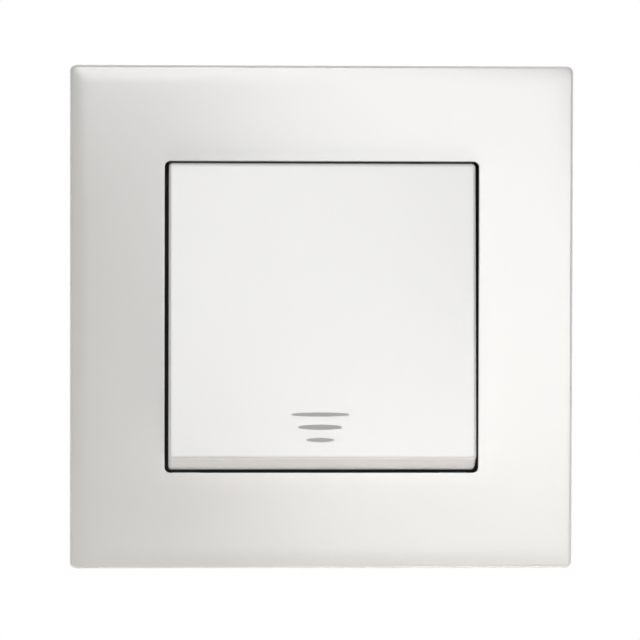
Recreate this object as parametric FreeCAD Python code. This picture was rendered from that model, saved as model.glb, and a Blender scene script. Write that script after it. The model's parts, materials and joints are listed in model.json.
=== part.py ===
import FreeCAD, Part
import math
import os

# A flush two-way rocker switch. X is to the right, Z is up and Y goes into the wall, in millimetres.
# The origin is the centre of the wall plane, Y = 0, so the room is at -Y and the wall box at +Y.

V = FreeCAD.Vector

# Cover plate
PLATE_SIZE = 82.0
PLATE_DEPTH = 10.5
PLATE_WALL = 1.8
PLATE_CORNER = 1.1
ROLL_WIDTH = 3.0
ROLL_DROP = 0.1
EDGE_ROUND = 0.6
WINDOW_SIZE = 51.0
WINDOW_CORNER = 0.9
LIP_THICK = 1.6
RIB_THICK = 1.2
RIB_DEPTH = 3.7
RIB_OFFSET = 15.0
RIM_EXTRA = 1.0
RIM_CORNER = 1.0
RIM_IN_CORNER = 0.8
TONGUE_X = 22.0
TONGUE_WIDTH = 4.0
TONGUE_THICK = 1.0
TONGUE_PLAY = 0.2
BARB = 0.6
BARB_LENGTH = 1.6
BARB_FLAT = 0.3
PRY_WIDTH = 8.0
PRY_DEPTH = 0.8

# Dark inner bezel
BEZEL_WALL = 1.5
BEZEL_SIDE_ROOM = 0.4
BEZEL_END_ROOM = 0.8
BEZEL_FLOOR = 1.2
BEZEL_CORNER = 1.0
BEZEL_IN_CORNER = 0.8
BEZEL_SKIN = 0.6
CATCH_LENGTH = 2.0
BOX_HEAD_ROOM = 2.8
HOOK_X = 10.0
HOOK_WIDTH = 3.6
HOOK_THICK = 1.2
HOOK_PLAY = 0.4
HOOK_GRIP = 1.4
HOOK_TAPER = 0.2

# Support plate of folded sheet steel
SUPPORT_ROOM = 3.7
SUPPORT_CORNER = 4.0
SHEET = 1.0
JOGGLE = 0.8
SLOT_RADIUS = 2.0
SLOT_LENGTH = 6.0
SLOT_EDGE = 5.5
CORNER_HOLE_RADIUS = 1.7
CORNER_HOLE_EDGE = 6.5
FOLD_ROOM = 0.4
RAISED_CORNER = 2.0
SUPPORT_OPENING_HALF_X = 17.0
SUPPORT_OPENING_HALF_Z = 13.0
OPENING_CORNER = 2.0
BEAD_LENGTH = 9.0
BEAD_RADIUS = 1.0
BEAD_HEIGHT = 0.5
BEAD_OFFSET = 14.5
CENTRE_NOTCH = 0.8

# Rocker
ROCKER_TILT = 4.5
ROCKER_PROUD = 3.5
ROCKER_WALL = 1.5
ROCKER_SIDE_GAP = 0.55
ROCKER_END_GAP = 1.7
ROCKER_SIDE_DRAFT = 0.025
ROCKER_END_DRAFT = 0.19
ROCKER_CORNER = 0.6
ROCKER_EDGE = 0.35
SKIRT_DEPTH = 8.2
CAP_RIB = 1.2
CAP_RIB_ROOM_X = 4.5
CAP_RIB_ROOM_Z = 5.0
MARK_WIDTHS = (9.3, 7.0, 4.35)
MARK_HEIGHTS = (0.70, 0.85, 0.72)
MARK_PITCH = 2.06
MARK_TOP_Z = -16.77
MARK_X = -0.4
MARK_DEPTH = 0.3

# Pivot and cradle
PIVOT_Y = -1.0
PIN_RADIUS = 1.45
PIN_LENGTH = 3.4
CHEEK_X = 11.5
CHEEK_THICK = 2.0
CHEEK_RADIUS = 3.0
CRADLE_HALF_Z = 9.0
CRADLE_PLATE = 1.5
TUBE_OUTER = 3.2
TUBE_REACH = 8.5
TUBE_BLIND = 5.0
WEB_THICK = 1.6
WEB_PAST = 1.5
CLIP_X = 6.0
CLIP_WIDTH = 4.0
CLIP_THICK = 1.1
CLIP_NOSE = 1.2

# Plunger and its spring
PLUNGER_RADIUS = 2.05
PLUNGER_HEAD = 5.0
NOSE_RADIUS = 1.5
SPRING_WIRE = 0.4
SPRING_RADIUS = 1.5
SPRING_TURNS = 6
SPRING_GUIDE = 0.9
GUIDE_LENGTH = 2.0

# Base, lid and their screws
LID_THICK = 2.0
LID_RIM = 1.2
LID_OPENING_ROOM = 2.5
BASE_HALF_X = 17.8
BASE_HALF_Z = 16.2
BASE_CORNER = 4.0
BASE_WALL_X = 2.4
BASE_WALL_Z = 1.8
BASE_FLOOR = 2.5
BASE_EDGE = 0.8
BASE_RIB = 0.9
BASE_RIB_THICK = 1.4
BASE_RIB_X = 9.5
GAUGE_LENGTH = 10.0
GAUGE_WIDTH = 1.6
GAUGE_DEPTH = 0.5
FLOOR_Y = 18.0
DECK_Y = 9.2
EAR_THICK = 3.0
EAR_RADIUS = 3.2
EAR_ROOM = 0.6
SNAP_BITE = 0.36
GUSSET = 1.0
LID_SCREW_Z = 20.3
SCREW_RADIUS = 1.45
HEAD_RADIUS = 2.6
HEAD_HEIGHT = 1.6
HEAD_CHAMFER = 0.6
CROSS_REACH = 1.56
CROSS_HALF = 0.35
RECESS_DEPTH = 0.8
LOBE_RADIUS = 3.6
LOBE_DEPTH = 12.0
LOBE_END = 1.5
TIP_ROOM = 0.7

# Contacts
STRIP = 1.0
ARM_THICK = 0.8
ARM_HALF_X = 3.6
ARM_HALF_Z = 11.2
ARM_EAR_DROP = 1.7
ARM_EAR_HALF_Z = 2.0
ARM_TILT = 8.0
CONTACT_Z = 9.5
TIP_RADIUS = 1.6
TIP_HEIGHT = 0.7
TIP_DOME = 5.0
RIVET_RADIUS = 1.7
RIVET_HEIGHT = 0.8
CONTACT_GAP = 0.1
RIDGE_HALF = 1.6
KNIFE_HALF = 0.15
RIVET_LAP = 0.7
SPREADER_REACH = 2.0
CHAMBER_HALF_X = 6.2
CHAMBER_HALF_Z = 12.6

# Screw terminals
TERMINAL_Z = 10.0
TONGUE_X_IN = 10.6
TONGUE_STRIP = 0.8
STRIP_HALF_Z = 2.3
CAGE_WALL = 0.9
CAGE_IN = 7.6
CAGE_LENGTH = 5.8
CAGE_DEPTH = 6.4
CAGE_TOP_Y = 10.4
CAGE_CORNER = 0.6
TERMINAL_HEAD_RADIUS = 2.3
TERMINAL_HEAD_HEIGHT = 1.8
TERMINAL_SLOT_HALF = 0.4
WIRE_RADIUS = 1.05
WIRE_SPREAD = 1.25
WIRE_FUNNEL = 1.0
FUNNEL_DEPTH = 1.2

# Spreading claws
CLAW_SCREW_OUT = 3.2
CLAW_PIVOT_OUT = 2.6
CLAW_PIVOT_Y = 2.6
CLAW_PIN = 1.0
CLAW_THICK = 1.4
EYE_RADIUS = 1.6
EYE_BACK = 1.8
CLAW_HALF_Z = 4.0
CLAW_END_Y = 16.8
CLAW_SWING = 20.0
TOOTH_REACH = 2.2
TOOTH_COUNT = 3
NUT_TRAVEL = 6.0
NUT_Y = 12.0
NUT_LENGTH = 4.0
NUT_OUT = 1.9
CLAW_SCREW_END_Y = 19.4
EAR_SHEET_Z = 4.5
EAR_ROUND = 1.2
CAM_RISE = 0.8
TOOTH_ROOT = 0.4
RAIL = 1.0
RAIL_FRONT_Y = 6.0

# Clearances
SPRING_SEAT = 0.03
RUNNING = 0.05
NOSE_GAP = 0.08
SLIDING = 0.1
CAM_GAP = 0.12
SCREW_HOLE_ROOM = 0.15
FITTED = 0.2
FREE = 0.3
LOOSE = 0.4

# How far a cut runs past its face, and how deep an added piece starts inside its body
PAST = 1.0
ROOT = 0.2

# Derived places
SUPPORT_SIZE = PLATE_SIZE - 2 * (PLATE_WALL + SUPPORT_ROOM)
BOX_SCREW_SPACING = SUPPORT_SIZE - 2 * SLOT_EDGE
CORNER_HOLE_PITCH = SUPPORT_SIZE - 2 * CORNER_HOLE_EDGE
FRONT_Y = -PLATE_DEPTH
PLATE_HALF = PLATE_SIZE / 2
WINDOW_HALF = WINDOW_SIZE / 2
LIP_BACK_Y = FRONT_Y + LIP_THICK
PLATE_BACK_Y = FRONT_Y + PLATE_WALL
RAISED_FRONT_Y = -SHEET - JOGGLE
RAISED_BACK_Y = -JOGGLE
CLAW_SCREW_X = BASE_HALF_X + CLAW_SCREW_OUT
CLAW_PIVOT_X = CLAW_SCREW_X + CLAW_PIVOT_OUT
NUT_OUTER_X = CLAW_SCREW_X + NUT_OUT
RAISED_HALF = CLAW_PIVOT_X + EYE_RADIUS + SHEET + FOLD_ROOM
POCKET_HALF = RAISED_HALF - SHEET
BEZEL_IN_X = WINDOW_HALF + BEZEL_SIDE_ROOM
BEZEL_IN_Z = WINDOW_HALF + BEZEL_END_ROOM
BEZEL_OUT_X = BEZEL_IN_X + BEZEL_WALL
BEZEL_OUT_Z = BEZEL_IN_Z + BEZEL_WALL
RIM_IN = max(BEZEL_OUT_X, BEZEL_OUT_Z) + 2 * FREE
RISE = PLATE_DEPTH + ROCKER_PROUD + PIVOT_Y
FACE_HALF_Z = WINDOW_HALF - ROCKER_END_GAP
SKIRT_HALF_X = WINDOW_HALF - ROCKER_SIDE_GAP
FACE_HALF_X = SKIRT_HALF_X - SKIRT_DEPTH * ROCKER_SIDE_DRAFT
LID_BACK_Y = RAISED_BACK_Y + LID_THICK
BASE_BACK_Y = FLOOR_Y + BASE_FLOOR
STRIP_FRONT_Y = FLOOR_Y - STRIP
TILT_SIN = math.sin(math.radians(ARM_TILT))
TILT_COS = math.cos(math.radians(ARM_TILT))
TIP_REACH = TIP_DOME + (TIP_HEIGHT - TIP_DOME) * TILT_COS + CONTACT_Z * TILT_SIN
KNIFE_Y = STRIP_FRONT_Y - RIVET_HEIGHT - CONTACT_GAP - TIP_REACH
NOSE_REACH = KNIFE_Y - PIVOT_Y - ARM_THICK - NOSE_RADIUS - NOSE_GAP
CAGE_HALF_Z = STRIP_HALF_Z + FREE + CAGE_WALL
CAGE_OUT = CAGE_IN + CAGE_LENGTH
POCKET_OUT = BASE_HALF_X - BASE_WALL_X
TERMINAL_Y = CAGE_TOP_Y + CAGE_DEPTH / 2
TONGUE_END_Y = CAGE_TOP_Y + CAGE_DEPTH - FITTED
SNAP_TONGUE_IN = BEZEL_IN_Z - TONGUE_PLAY
SNAP_TONGUE_END_Y = RAISED_FRONT_Y - BEZEL_FLOOR - FITTED
HOOK_IN = POCKET_HALF - HOOK_PLAY - HOOK_THICK
CAP_ROOF = RISE - ROCKER_WALL
CAP_SKIRT = RISE - SKIRT_DEPTH
CRADLE_TOP = CAP_ROOF - CRADLE_PLATE


def block(x0, x1, y0, y1, z0, z1, corner=0.0):
    """A box between two corners, with its four edges along Y rounded."""
    solid = Part.makeBox(x1 - x0, y1 - y0, z1 - z0, V(x0, y0, z0))
    if corner > 0:
        along_y = [e for e in solid.Edges if abs(e.Vertexes[0].Y - e.Vertexes[1].Y) > 1e-6]
        solid = solid.makeFillet(corner, along_y)
    return solid


def slab(half_x, half_z, y0, y1, corner=0.0):
    """A box centred on the Y axis."""
    return block(-half_x, half_x, y0, y1, -half_z, half_z, corner)


def rod_x(y, z, radius, x0, x1):
    return Part.makeCylinder(radius, x1 - x0, V(x0, y, z), V(1, 0, 0))


def rod_y(x, z, radius, y0, y1):
    return Part.makeCylinder(radius, y1 - y0, V(x, y0, z), V(0, 1, 0))


def rod_z(x, y, radius, z0, z1):
    return Part.makeCylinder(radius, z1 - z0, V(x, y, z0), V(0, 0, 1))


def outline(place, start, *steps):
    """A face inside a closed line. A step is the next corner, or a pair of arc middle and arc end."""
    edges = []
    here = start
    for step in steps:
        if isinstance(step[0], tuple):
            middle, end = step
            edges.append(Part.Arc(place(*here), place(*middle), place(*end)).toShape())
        else:
            end = step
            edges.append(Part.LineSegment(place(*here), place(*end)).toShape())
        here = end
    if here != start:
        edges.append(Part.LineSegment(place(*here), place(*start)).toShape())
    return Part.Face(Part.Wire(edges))


def on_side(x):
    """Places a point (y, z) in the upright plane at x."""
    return lambda y, z: V(x, y, z)


def on_top(z):
    """Places a point (x, y) in the level plane at z."""
    return lambda x, y: V(x, y, z)


def facing(y):
    """Places a point (x, z) in the plane at y that faces the room."""
    return lambda x, z: V(x, y, z)


def rounded_wire(half_x, half_z, y, corner):
    """A rectangle with rounded corners round the Y axis."""
    short = corner * (1 - math.sqrt(0.5))
    arcs = []
    for sx, sz in ((1, 1), (-1, 1), (-1, -1), (1, -1)):
        side = V(sx * half_x, y, sz * (half_z - corner))
        middle = V(sx * (half_x - short), y, sz * (half_z - short))
        end = V(sx * (half_x - corner), y, sz * half_z)
        first, last = (side, end) if sx * sz > 0 else (end, side)
        arcs.append((first, middle, last))
    edges = []
    for number, (first, middle, last) in enumerate(arcs):
        edges.append(Part.Arc(first, middle, last).toShape())
        following = arcs[(number + 1) % 4][0]
        edges.append(Part.LineSegment(last, following).toShape())
    return Part.Wire(edges)


def tapered(y0, half_x0, half_z0, y1, half_x1, half_z1, corner):
    """A block whose rounded rectangle changes size from y0 to y1."""
    wires = [rounded_wire(half_x0, half_z0, y0, corner), rounded_wire(half_x1, half_z1, y1, corner)]
    return Part.makeLoft(wires, True, True)


def mirror_x(shape):
    return shape.mirror(V(0, 0, 0), V(1, 0, 0))


def mirror_z(shape):
    return shape.mirror(V(0, 0, 0), V(0, 0, 1))


def in_four_corners(shape):
    """A shape in the quarter +X +Z, with its three mirror images."""
    upper = [shape, mirror_x(shape)]
    return upper + [mirror_z(s) for s in upper]


def tilted(shape, y, degrees):
    """Turns a shape about a line along X at height Z = 0."""
    turned = shape.copy()
    turned.rotate(V(0, y, 0), V(1, 0, 0), degrees)
    return turned


def pan_screw(x, z, head_back_y, head_radius, shank_radius, end_y):
    """A screw along Y whose head faces the room, with a cross recess."""
    front = head_back_y - HEAD_HEIGHT
    head = rod_y(x, z, head_radius, front, head_back_y)
    rim = [e for e in head.Edges if e.Length > 1 and e.BoundBox.YMax < front + 0.01]
    head = head.makeChamfer(HEAD_CHAMFER, rim)
    shank = rod_y(x, z, shank_radius, head_back_y, end_y)
    reach, half = CROSS_REACH, CROSS_HALF
    across = block(x - reach, x + reach, front - PAST, front + RECESS_DEPTH, z - half, z + half)
    upright = block(x - half, x + half, front - PAST, front + RECESS_DEPTH, z - reach, z + reach)
    return head.fuse(shank).cut([across, upright]).removeSplitter()


# Cover plate


def roll_drop(out):
    """How far the front has dropped at a distance outside its flat middle."""
    radius = (ROLL_WIDTH ** 2 + ROLL_DROP ** 2) / (2 * ROLL_DROP)
    return radius - math.sqrt(radius ** 2 - out ** 2)


def rolled_profile(place):
    """The plate's section: straight walls, a small edge round and a wide shallow roll to the front."""
    flat = PLATE_HALF - ROLL_WIDTH
    near_edge = PLATE_HALF - EDGE_ROUND
    half_roll = (near_edge - flat) / 2
    roll_y = FRONT_Y + roll_drop(half_roll)
    edge_y = FRONT_Y + roll_drop(near_edge - flat)
    side_y = edge_y + EDGE_ROUND
    short = EDGE_ROUND * (1 - math.sqrt(0.5))
    return outline(
        place,
        (-PLATE_HALF, 0),
        (-PLATE_HALF, side_y),
        ((-PLATE_HALF + short, edge_y + short), (-near_edge, edge_y)),
        ((-flat - half_roll, roll_y), (-flat, FRONT_Y)),
        (flat, FRONT_Y),
        ((flat + half_roll, roll_y), (near_edge, edge_y)),
        ((PLATE_HALF - short, edge_y + short), (PLATE_HALF, side_y)),
        (PLATE_HALF, 0),
    )


def cover_plate():
    across = rolled_profile(on_top(-PLATE_HALF)).extrude(V(0, 0, PLATE_SIZE))
    upright = rolled_profile(lambda z, y: V(-PLATE_HALF, y, z)).extrude(V(PLATE_SIZE, 0, 0))
    body = across.common(upright).common(slab(PLATE_HALF, PLATE_HALF, FRONT_Y, 0, PLATE_CORNER))
    inner = PLATE_HALF - PLATE_WALL
    body = body.cut(slab(inner, inner, PLATE_BACK_Y, PAST, PLATE_CORNER))
    rib_end_y = PLATE_BACK_Y + RIB_DEPTH
    rim_out = RIM_IN + RIB_THICK
    rim = slab(rim_out, rim_out, PLATE_BACK_Y, rib_end_y + RIM_EXTRA, RIM_CORNER)
    ribs = []
    for offset in (RIB_OFFSET, -RIB_OFFSET):
        low, high = offset - RIB_THICK / 2, offset + RIB_THICK / 2
        ribs.append(block(-inner, inner, PLATE_BACK_Y, rib_end_y, low, high))
        ribs.append(block(low, high, PLATE_BACK_Y, rib_end_y, -inner, inner))
    body = body.fuse([rim] + ribs)
    body = body.cut(slab(RIM_IN, RIM_IN, LIP_BACK_Y, PAST, RIM_IN_CORNER))
    body = body.cut(slab(WINDOW_HALF, WINDOW_HALF, FRONT_Y - PAST, PAST, WINDOW_CORNER))
    pry_half = PRY_WIDTH / 2
    notch = block(-pry_half, pry_half, -PRY_DEPTH, PAST, -PLATE_HALF - PAST, -inner + PAST)
    body = body.cut(notch)
    return body.fuse(in_four_corners(snap_tongue())).removeSplitter()


def snap_tongue():
    """One tongue behind the window's lip, in the quarter +X +Z, with a barb that grips the bezel."""
    inner, outer = SNAP_TONGUE_IN, SNAP_TONGUE_IN + TONGUE_THICK
    end_y = SNAP_TONGUE_END_Y
    barb_y = end_y - BARB_LENGTH
    side = outline(
        on_side(TONGUE_X - TONGUE_WIDTH / 2),
        (LIP_BACK_Y, inner),
        (end_y, inner),
        (end_y, outer - BARB_FLAT),
        (barb_y, outer + BARB),
        (barb_y - BARB_FLAT, outer),
        (LIP_BACK_Y, outer),
    )
    return side.extrude(V(TONGUE_WIDTH, 0, 0))


# Inner bezel


def inner_bezel():
    floor_y = RAISED_FRONT_Y - BEZEL_FLOOR
    body = slab(BEZEL_OUT_X, BEZEL_OUT_Z, LIP_BACK_Y, RAISED_FRONT_Y, BEZEL_CORNER)
    body = body.cut(slab(BEZEL_IN_X, BEZEL_IN_Z, LIP_BACK_Y - PAST, floor_y, BEZEL_IN_CORNER))
    flange_x = CLAW_SCREW_X + HEAD_RADIUS + FREE + SLIDING
    flange_z = LID_SCREW_Z + HEAD_RADIUS + FREE + 2 * SLIDING
    body = body.cut(slab(flange_x, flange_z, floor_y - PAST, PAST, RAISED_CORNER))
    half = TONGUE_WIDTH / 2 + FREE
    low, high = TONGUE_X - half, TONGUE_X + half
    slot_out = SNAP_TONGUE_IN + TONGUE_THICK + FITTED
    slot = block(low, high, LIP_BACK_Y - PAST, PAST, SNAP_TONGUE_IN - FREE, slot_out)
    catch = block(low, high, floor_y - CATCH_LENGTH, PAST, SNAP_TONGUE_IN, BEZEL_OUT_Z + PAST)
    body = body.cut(in_four_corners(slot) + in_four_corners(catch))
    room = SLOT_LENGTH / 2 + 1
    front_y = RAISED_FRONT_Y - BOX_HEAD_ROOM
    side_notch = block(-PLATE_HALF, PLATE_HALF, front_y, PAST, -room, room)
    end_notch = block(-room, room, front_y, PAST, -PLATE_HALF, PLATE_HALF)
    skin = slab(BEZEL_IN_X + BEZEL_SKIN, BEZEL_IN_Z + BEZEL_SKIN, LIP_BACK_Y, PAST)
    body = body.cut([side_notch.cut(skin), end_notch.cut(skin)])
    return body.fuse(in_four_corners(bezel_hook())).removeSplitter()


def bezel_hook():
    """A hook in the quarter +X +Z that reaches through the support plate and grips its back."""
    inner, outer = HOOK_IN, HOOK_IN + HOOK_THICK
    grip_y = RAISED_BACK_Y + SLIDING
    side = outline(
        on_side(HOOK_X - HOOK_WIDTH / 2),
        (RAISED_FRONT_Y - ROOT, inner),
        (grip_y, inner),
        (grip_y, inner - BARB),
        (grip_y + HOOK_GRIP, inner + HOOK_TAPER),
        (grip_y + HOOK_GRIP, outer),
        (RAISED_FRONT_Y - ROOT, outer),
    )
    return side.extrude(V(HOOK_WIDTH, 0, 0))


# Support plate


def oblong(x, z, run_x, run_z, radius, y0, y1):
    """A bar along Y with round ends, drawn out by run_x or run_z to both sides of its middle."""
    ends = [rod_y(x - run_x, z - run_z, radius, y0, y1), rod_y(x + run_x, z + run_z, radius, y0, y1)]
    if run_x > 0:
        middle = block(x - run_x, x + run_x, y0, y1, z - radius, z + radius)
    else:
        middle = block(x - radius, x + radius, y0, y1, z - run_z, z + run_z)
    return middle.fuse(ends).removeSplitter()


def screw_slot(x, z):
    """A slot for a box screw, drawn out away from the middle of the plate."""
    run = SLOT_LENGTH / 2 - SLOT_RADIUS
    run_x, run_z = (run, 0) if abs(x) > abs(z) else (0, run)
    return oblong(x, z, run_x, run_z, SLOT_RADIUS, -SHEET - PAST, PAST)


def bead(y, radius):
    """One side of the stiffening beads, which are pressed out of the flange beside each slot."""
    middle = (RAISED_HALF + SUPPORT_SIZE / 2) / 2
    run = BEAD_LENGTH / 2 - BEAD_RADIUS
    level = oblong(BEAD_OFFSET, middle, run, 0, radius, y, y + BEAD_HEIGHT)
    upright = oblong(middle, BEAD_OFFSET, 0, run, radius, y, y + BEAD_HEIGHT)
    return in_four_corners(level) + in_four_corners(upright)


def support_plate():
    outer = SUPPORT_SIZE / 2
    body = slab(outer, outer, -SHEET, 0, SUPPORT_CORNER)
    body = body.fuse(slab(RAISED_HALF, RAISED_HALF, RAISED_FRONT_Y, 0, RAISED_CORNER))
    body = body.fuse(bead(-SHEET - BEAD_HEIGHT, BEAD_RADIUS))
    front_y = RAISED_FRONT_Y - PAST
    cuts = [slab(POCKET_HALF, POCKET_HALF, RAISED_BACK_Y, PAST, RAISED_CORNER - SHEET)]
    cuts.append(slab(SUPPORT_OPENING_HALF_X, SUPPORT_OPENING_HALF_Z, front_y, PAST, OPENING_CORNER))
    cuts += bead(-BEAD_HEIGHT, BEAD_RADIUS - BEAD_HEIGHT)
    reach = BOX_SCREW_SPACING / 2
    corner = CORNER_HOLE_PITCH / 2
    cuts += in_four_corners(rod_y(corner, corner, CORNER_HOLE_RADIUS, front_y, PAST))
    for side in (1, -1):
        cuts += [screw_slot(side * reach, 0), screw_slot(0, side * reach)]
        cuts.append(rod_y(side * outer, 0, CENTRE_NOTCH, front_y, PAST))
        cuts.append(rod_y(0, side * outer, CENTRE_NOTCH, front_y, PAST))
        cuts.append(rod_y(0, side * LID_SCREW_Z, SCREW_RADIUS + SCREW_HOLE_ROOM, front_y, PAST))
        cuts.append(rod_y(side * CLAW_SCREW_X, 0, SCREW_RADIUS + 2 * SCREW_HOLE_ROOM, front_y, PAST))
    half = HOOK_WIDTH / 2 + SLIDING
    hook_out = HOOK_IN + HOOK_THICK
    hook_hole = block(HOOK_X - half, HOOK_X + half, front_y, PAST, HOOK_IN - SLIDING, hook_out + SLIDING)
    tab_in, tab_out = CLAW_PIVOT_X - EYE_RADIUS, CLAW_PIVOT_X + EYE_RADIUS
    tab_length = CLAW_PIVOT_Y + EYE_BACK - RAISED_BACK_Y
    fold_z = EAR_SHEET_Z + SHEET
    tab_hole = block(tab_in, tab_out, front_y, PAST, fold_z, fold_z + tab_length)
    body = body.cut(cuts + in_four_corners(hook_hole) + in_four_corners(tab_hole))
    return body.fuse(in_four_corners(claw_ear(tab_in, tab_out))).removeSplitter()


def claw_ear(tab_in, tab_out):
    """A tab folded back from the sheet, with the hole of a claw's pivot, in the quarter +X +Z."""
    end_y = CLAW_PIVOT_Y + EYE_BACK
    tab = block(tab_in, tab_out, RAISED_BACK_Y, end_y, EAR_SHEET_Z, EAR_SHEET_Z + SHEET)
    back = [e for e in tab.Edges if e.BoundBox.YMin > end_y - 0.01 and e.BoundBox.ZLength > SHEET / 2]
    tab = tab.makeFillet(EAR_ROUND, back)
    hole = rod_z(CLAW_PIVOT_X, CLAW_PIVOT_Y, CLAW_PIN + RUNNING, EAR_SHEET_Z - PAST, EAR_SHEET_Z + SHEET + PAST)
    return tab.cut(hole)


# Lid and base


def mechanism_block(y0, y1, lobe_y1):
    """The outline that lid and base share: a round-cornered block with a screw lobe at each end."""
    body = slab(BASE_HALF_X, BASE_HALF_Z, y0, y1, BASE_CORNER)
    lobe = rod_y(0, LID_SCREW_Z, LOBE_RADIUS, y0, lobe_y1)
    neck = block(-LOBE_RADIUS, LOBE_RADIUS, y0, lobe_y1, BASE_HALF_Z - BASE_WALL_Z, LID_SCREW_Z)
    ends = [lobe, neck, mirror_z(lobe), mirror_z(neck)]
    return body.fuse(ends).removeSplitter()


def bearing_ear(x0, x1):
    """An ear of the lid with the trunnion's bore and the narrower slot that the pin snaps through."""
    side = outline(
        on_side(x0),
        (LID_BACK_Y - LID_THICK / 2, -EAR_RADIUS),
        (PIVOT_Y, -EAR_RADIUS),
        ((PIVOT_Y - EAR_RADIUS, 0), (PIVOT_Y, EAR_RADIUS)),
        (LID_BACK_Y - LID_THICK / 2, EAR_RADIUS),
    )
    return side.extrude(V(x1 - x0, 0, 0))


def ear_gusset(x0, z):
    """A rib that holds a bearing ear upright from its outer side, for the side +X."""
    low = LID_BACK_Y - LID_THICK / 2
    reach = SUPPORT_OPENING_HALF_X - FREE
    side = outline(
        on_top(z - GUSSET / 2),
        (x0 - ROOT, low),
        (x0 - ROOT, PIVOT_Y - PIN_RADIUS),
        (x0, PIVOT_Y - PIN_RADIUS),
        (reach, RAISED_BACK_Y),
        (reach, low),
    )
    return side.extrude(V(0, 0, GUSSET))


def mechanism_lid():
    body = mechanism_block(RAISED_BACK_Y, LID_BACK_Y, LID_BACK_Y)
    rim_x = POCKET_OUT - FITTED
    rim_z = BASE_HALF_Z - BASE_WALL_Z - FITTED
    rim = slab(rim_x, rim_z, LID_BACK_Y, LID_BACK_Y + LID_RIM, RIM_CORNER)
    rim = rim.cut(slab(rim_x - LID_RIM, rim_z - LID_RIM, LID_BACK_Y - PAST, LID_BACK_Y + 2 * LID_RIM))
    body = body.fuse(rim)
    opening_x = CHEEK_X + LOOSE
    opening_z = CHEEK_RADIUS + LID_OPENING_ROOM
    body = body.cut(slab(opening_x, opening_z, RAISED_BACK_Y - PAST, LID_BACK_Y + PAST, RIM_CORNER))
    ear_in = CHEEK_X + EAR_ROOM
    ear_out = ear_in + EAR_THICK
    gusset_z = EAR_RADIUS - GUSSET / 2
    ears = [bearing_ear(ear_in, ear_out), ear_gusset(ear_out, gusset_z), ear_gusset(ear_out, -gusset_z)]
    cuts = [rod_x(PIVOT_Y, 0, PIN_RADIUS + RUNNING, ear_in - PAST, ear_out + PAST)]
    mouth = PIN_RADIUS - SNAP_BITE
    cuts.append(block(ear_in - PAST, ear_out + PAST, PIVOT_Y - EAR_RADIUS - PAST, PIVOT_Y, -mouth, mouth))
    hole = rod_y(0, LID_SCREW_Z, SCREW_RADIUS + SCREW_HOLE_ROOM, RAISED_BACK_Y - PAST, LID_BACK_Y + PAST)
    body = body.fuse(ears + [mirror_x(ear) for ear in ears])
    body = body.cut(cuts + [mirror_x(cut) for cut in cuts] + [hole, mirror_z(hole)])
    return body.removeSplitter()


def wire_entry(grow, y0, y1):
    """A bar through one terminal's wire entry, wide enough for two wires side by side."""
    end_radius = WIRE_RADIUS + grow
    solid = tapered(
        y0, WIRE_RADIUS, WIRE_SPREAD + WIRE_RADIUS, y1, end_radius, WIRE_SPREAD + end_radius, WIRE_RADIUS - RUNNING
    )
    solid.translate(V((CAGE_IN + CAGE_WALL + TONGUE_X_IN) / 2, 0, TERMINAL_Z))
    return solid


def terminal_cuts():
    """The pocket, screw bore and wire entry of one terminal, in the quarter +X +Z."""
    half = CAGE_HALF_Z + LOOSE
    pocket = block(CAGE_IN - LOOSE, POCKET_OUT, 0, FLOOR_Y, TERMINAL_Z - half, TERMINAL_Z + half)
    bore_radius = TERMINAL_HEAD_RADIUS + FITTED
    bore = rod_x(TERMINAL_Y, TERMINAL_Z, bore_radius, POCKET_OUT - PAST, BASE_HALF_X + PAST)
    funnel_y = BASE_BACK_Y - FUNNEL_DEPTH
    hole = wire_entry(0, FLOOR_Y - PAST, funnel_y)
    funnel = wire_entry(WIRE_FUNNEL, funnel_y, BASE_BACK_Y)
    return [pocket, bore, hole, funnel]


def claw_channel():
    """Two rails on the side wall that guide a claw's nut, and the foot that holds the screw's tip."""
    rail_in = CLAW_HALF_Z + FREE
    root, reach = BASE_HALF_X - RAIL / 2, CLAW_SCREW_X + RAIL
    rail = block(root, reach, RAIL_FRONT_Y, BASE_BACK_Y, rail_in, rail_in + RAIL)
    foot = block(root, reach, CLAW_SCREW_END_Y - RAIL, BASE_BACK_Y, -rail_in, rail_in)
    tip = rod_y(CLAW_SCREW_X, 0, SCREW_RADIUS + RUNNING, 0, CLAW_SCREW_END_Y + FITTED)
    return rail.fuse([mirror_z(rail), foot]).cut(tip).removeSplitter()


def base_rib():
    """A stiffening rib on an end wall, in the quarter +X +Z, which runs out towards the back."""
    half = BASE_RIB_THICK / 2
    side = outline(
        on_side(BASE_RIB_X - half),
        (LID_BACK_Y, BASE_HALF_Z - ROOT),
        (LID_BACK_Y, BASE_HALF_Z + BASE_RIB),
        (DECK_Y, BASE_HALF_Z + BASE_RIB),
        (FLOOR_Y, BASE_HALF_Z - ROOT),
    )
    return side.extrude(V(BASE_RIB_THICK, 0, 0))


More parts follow.
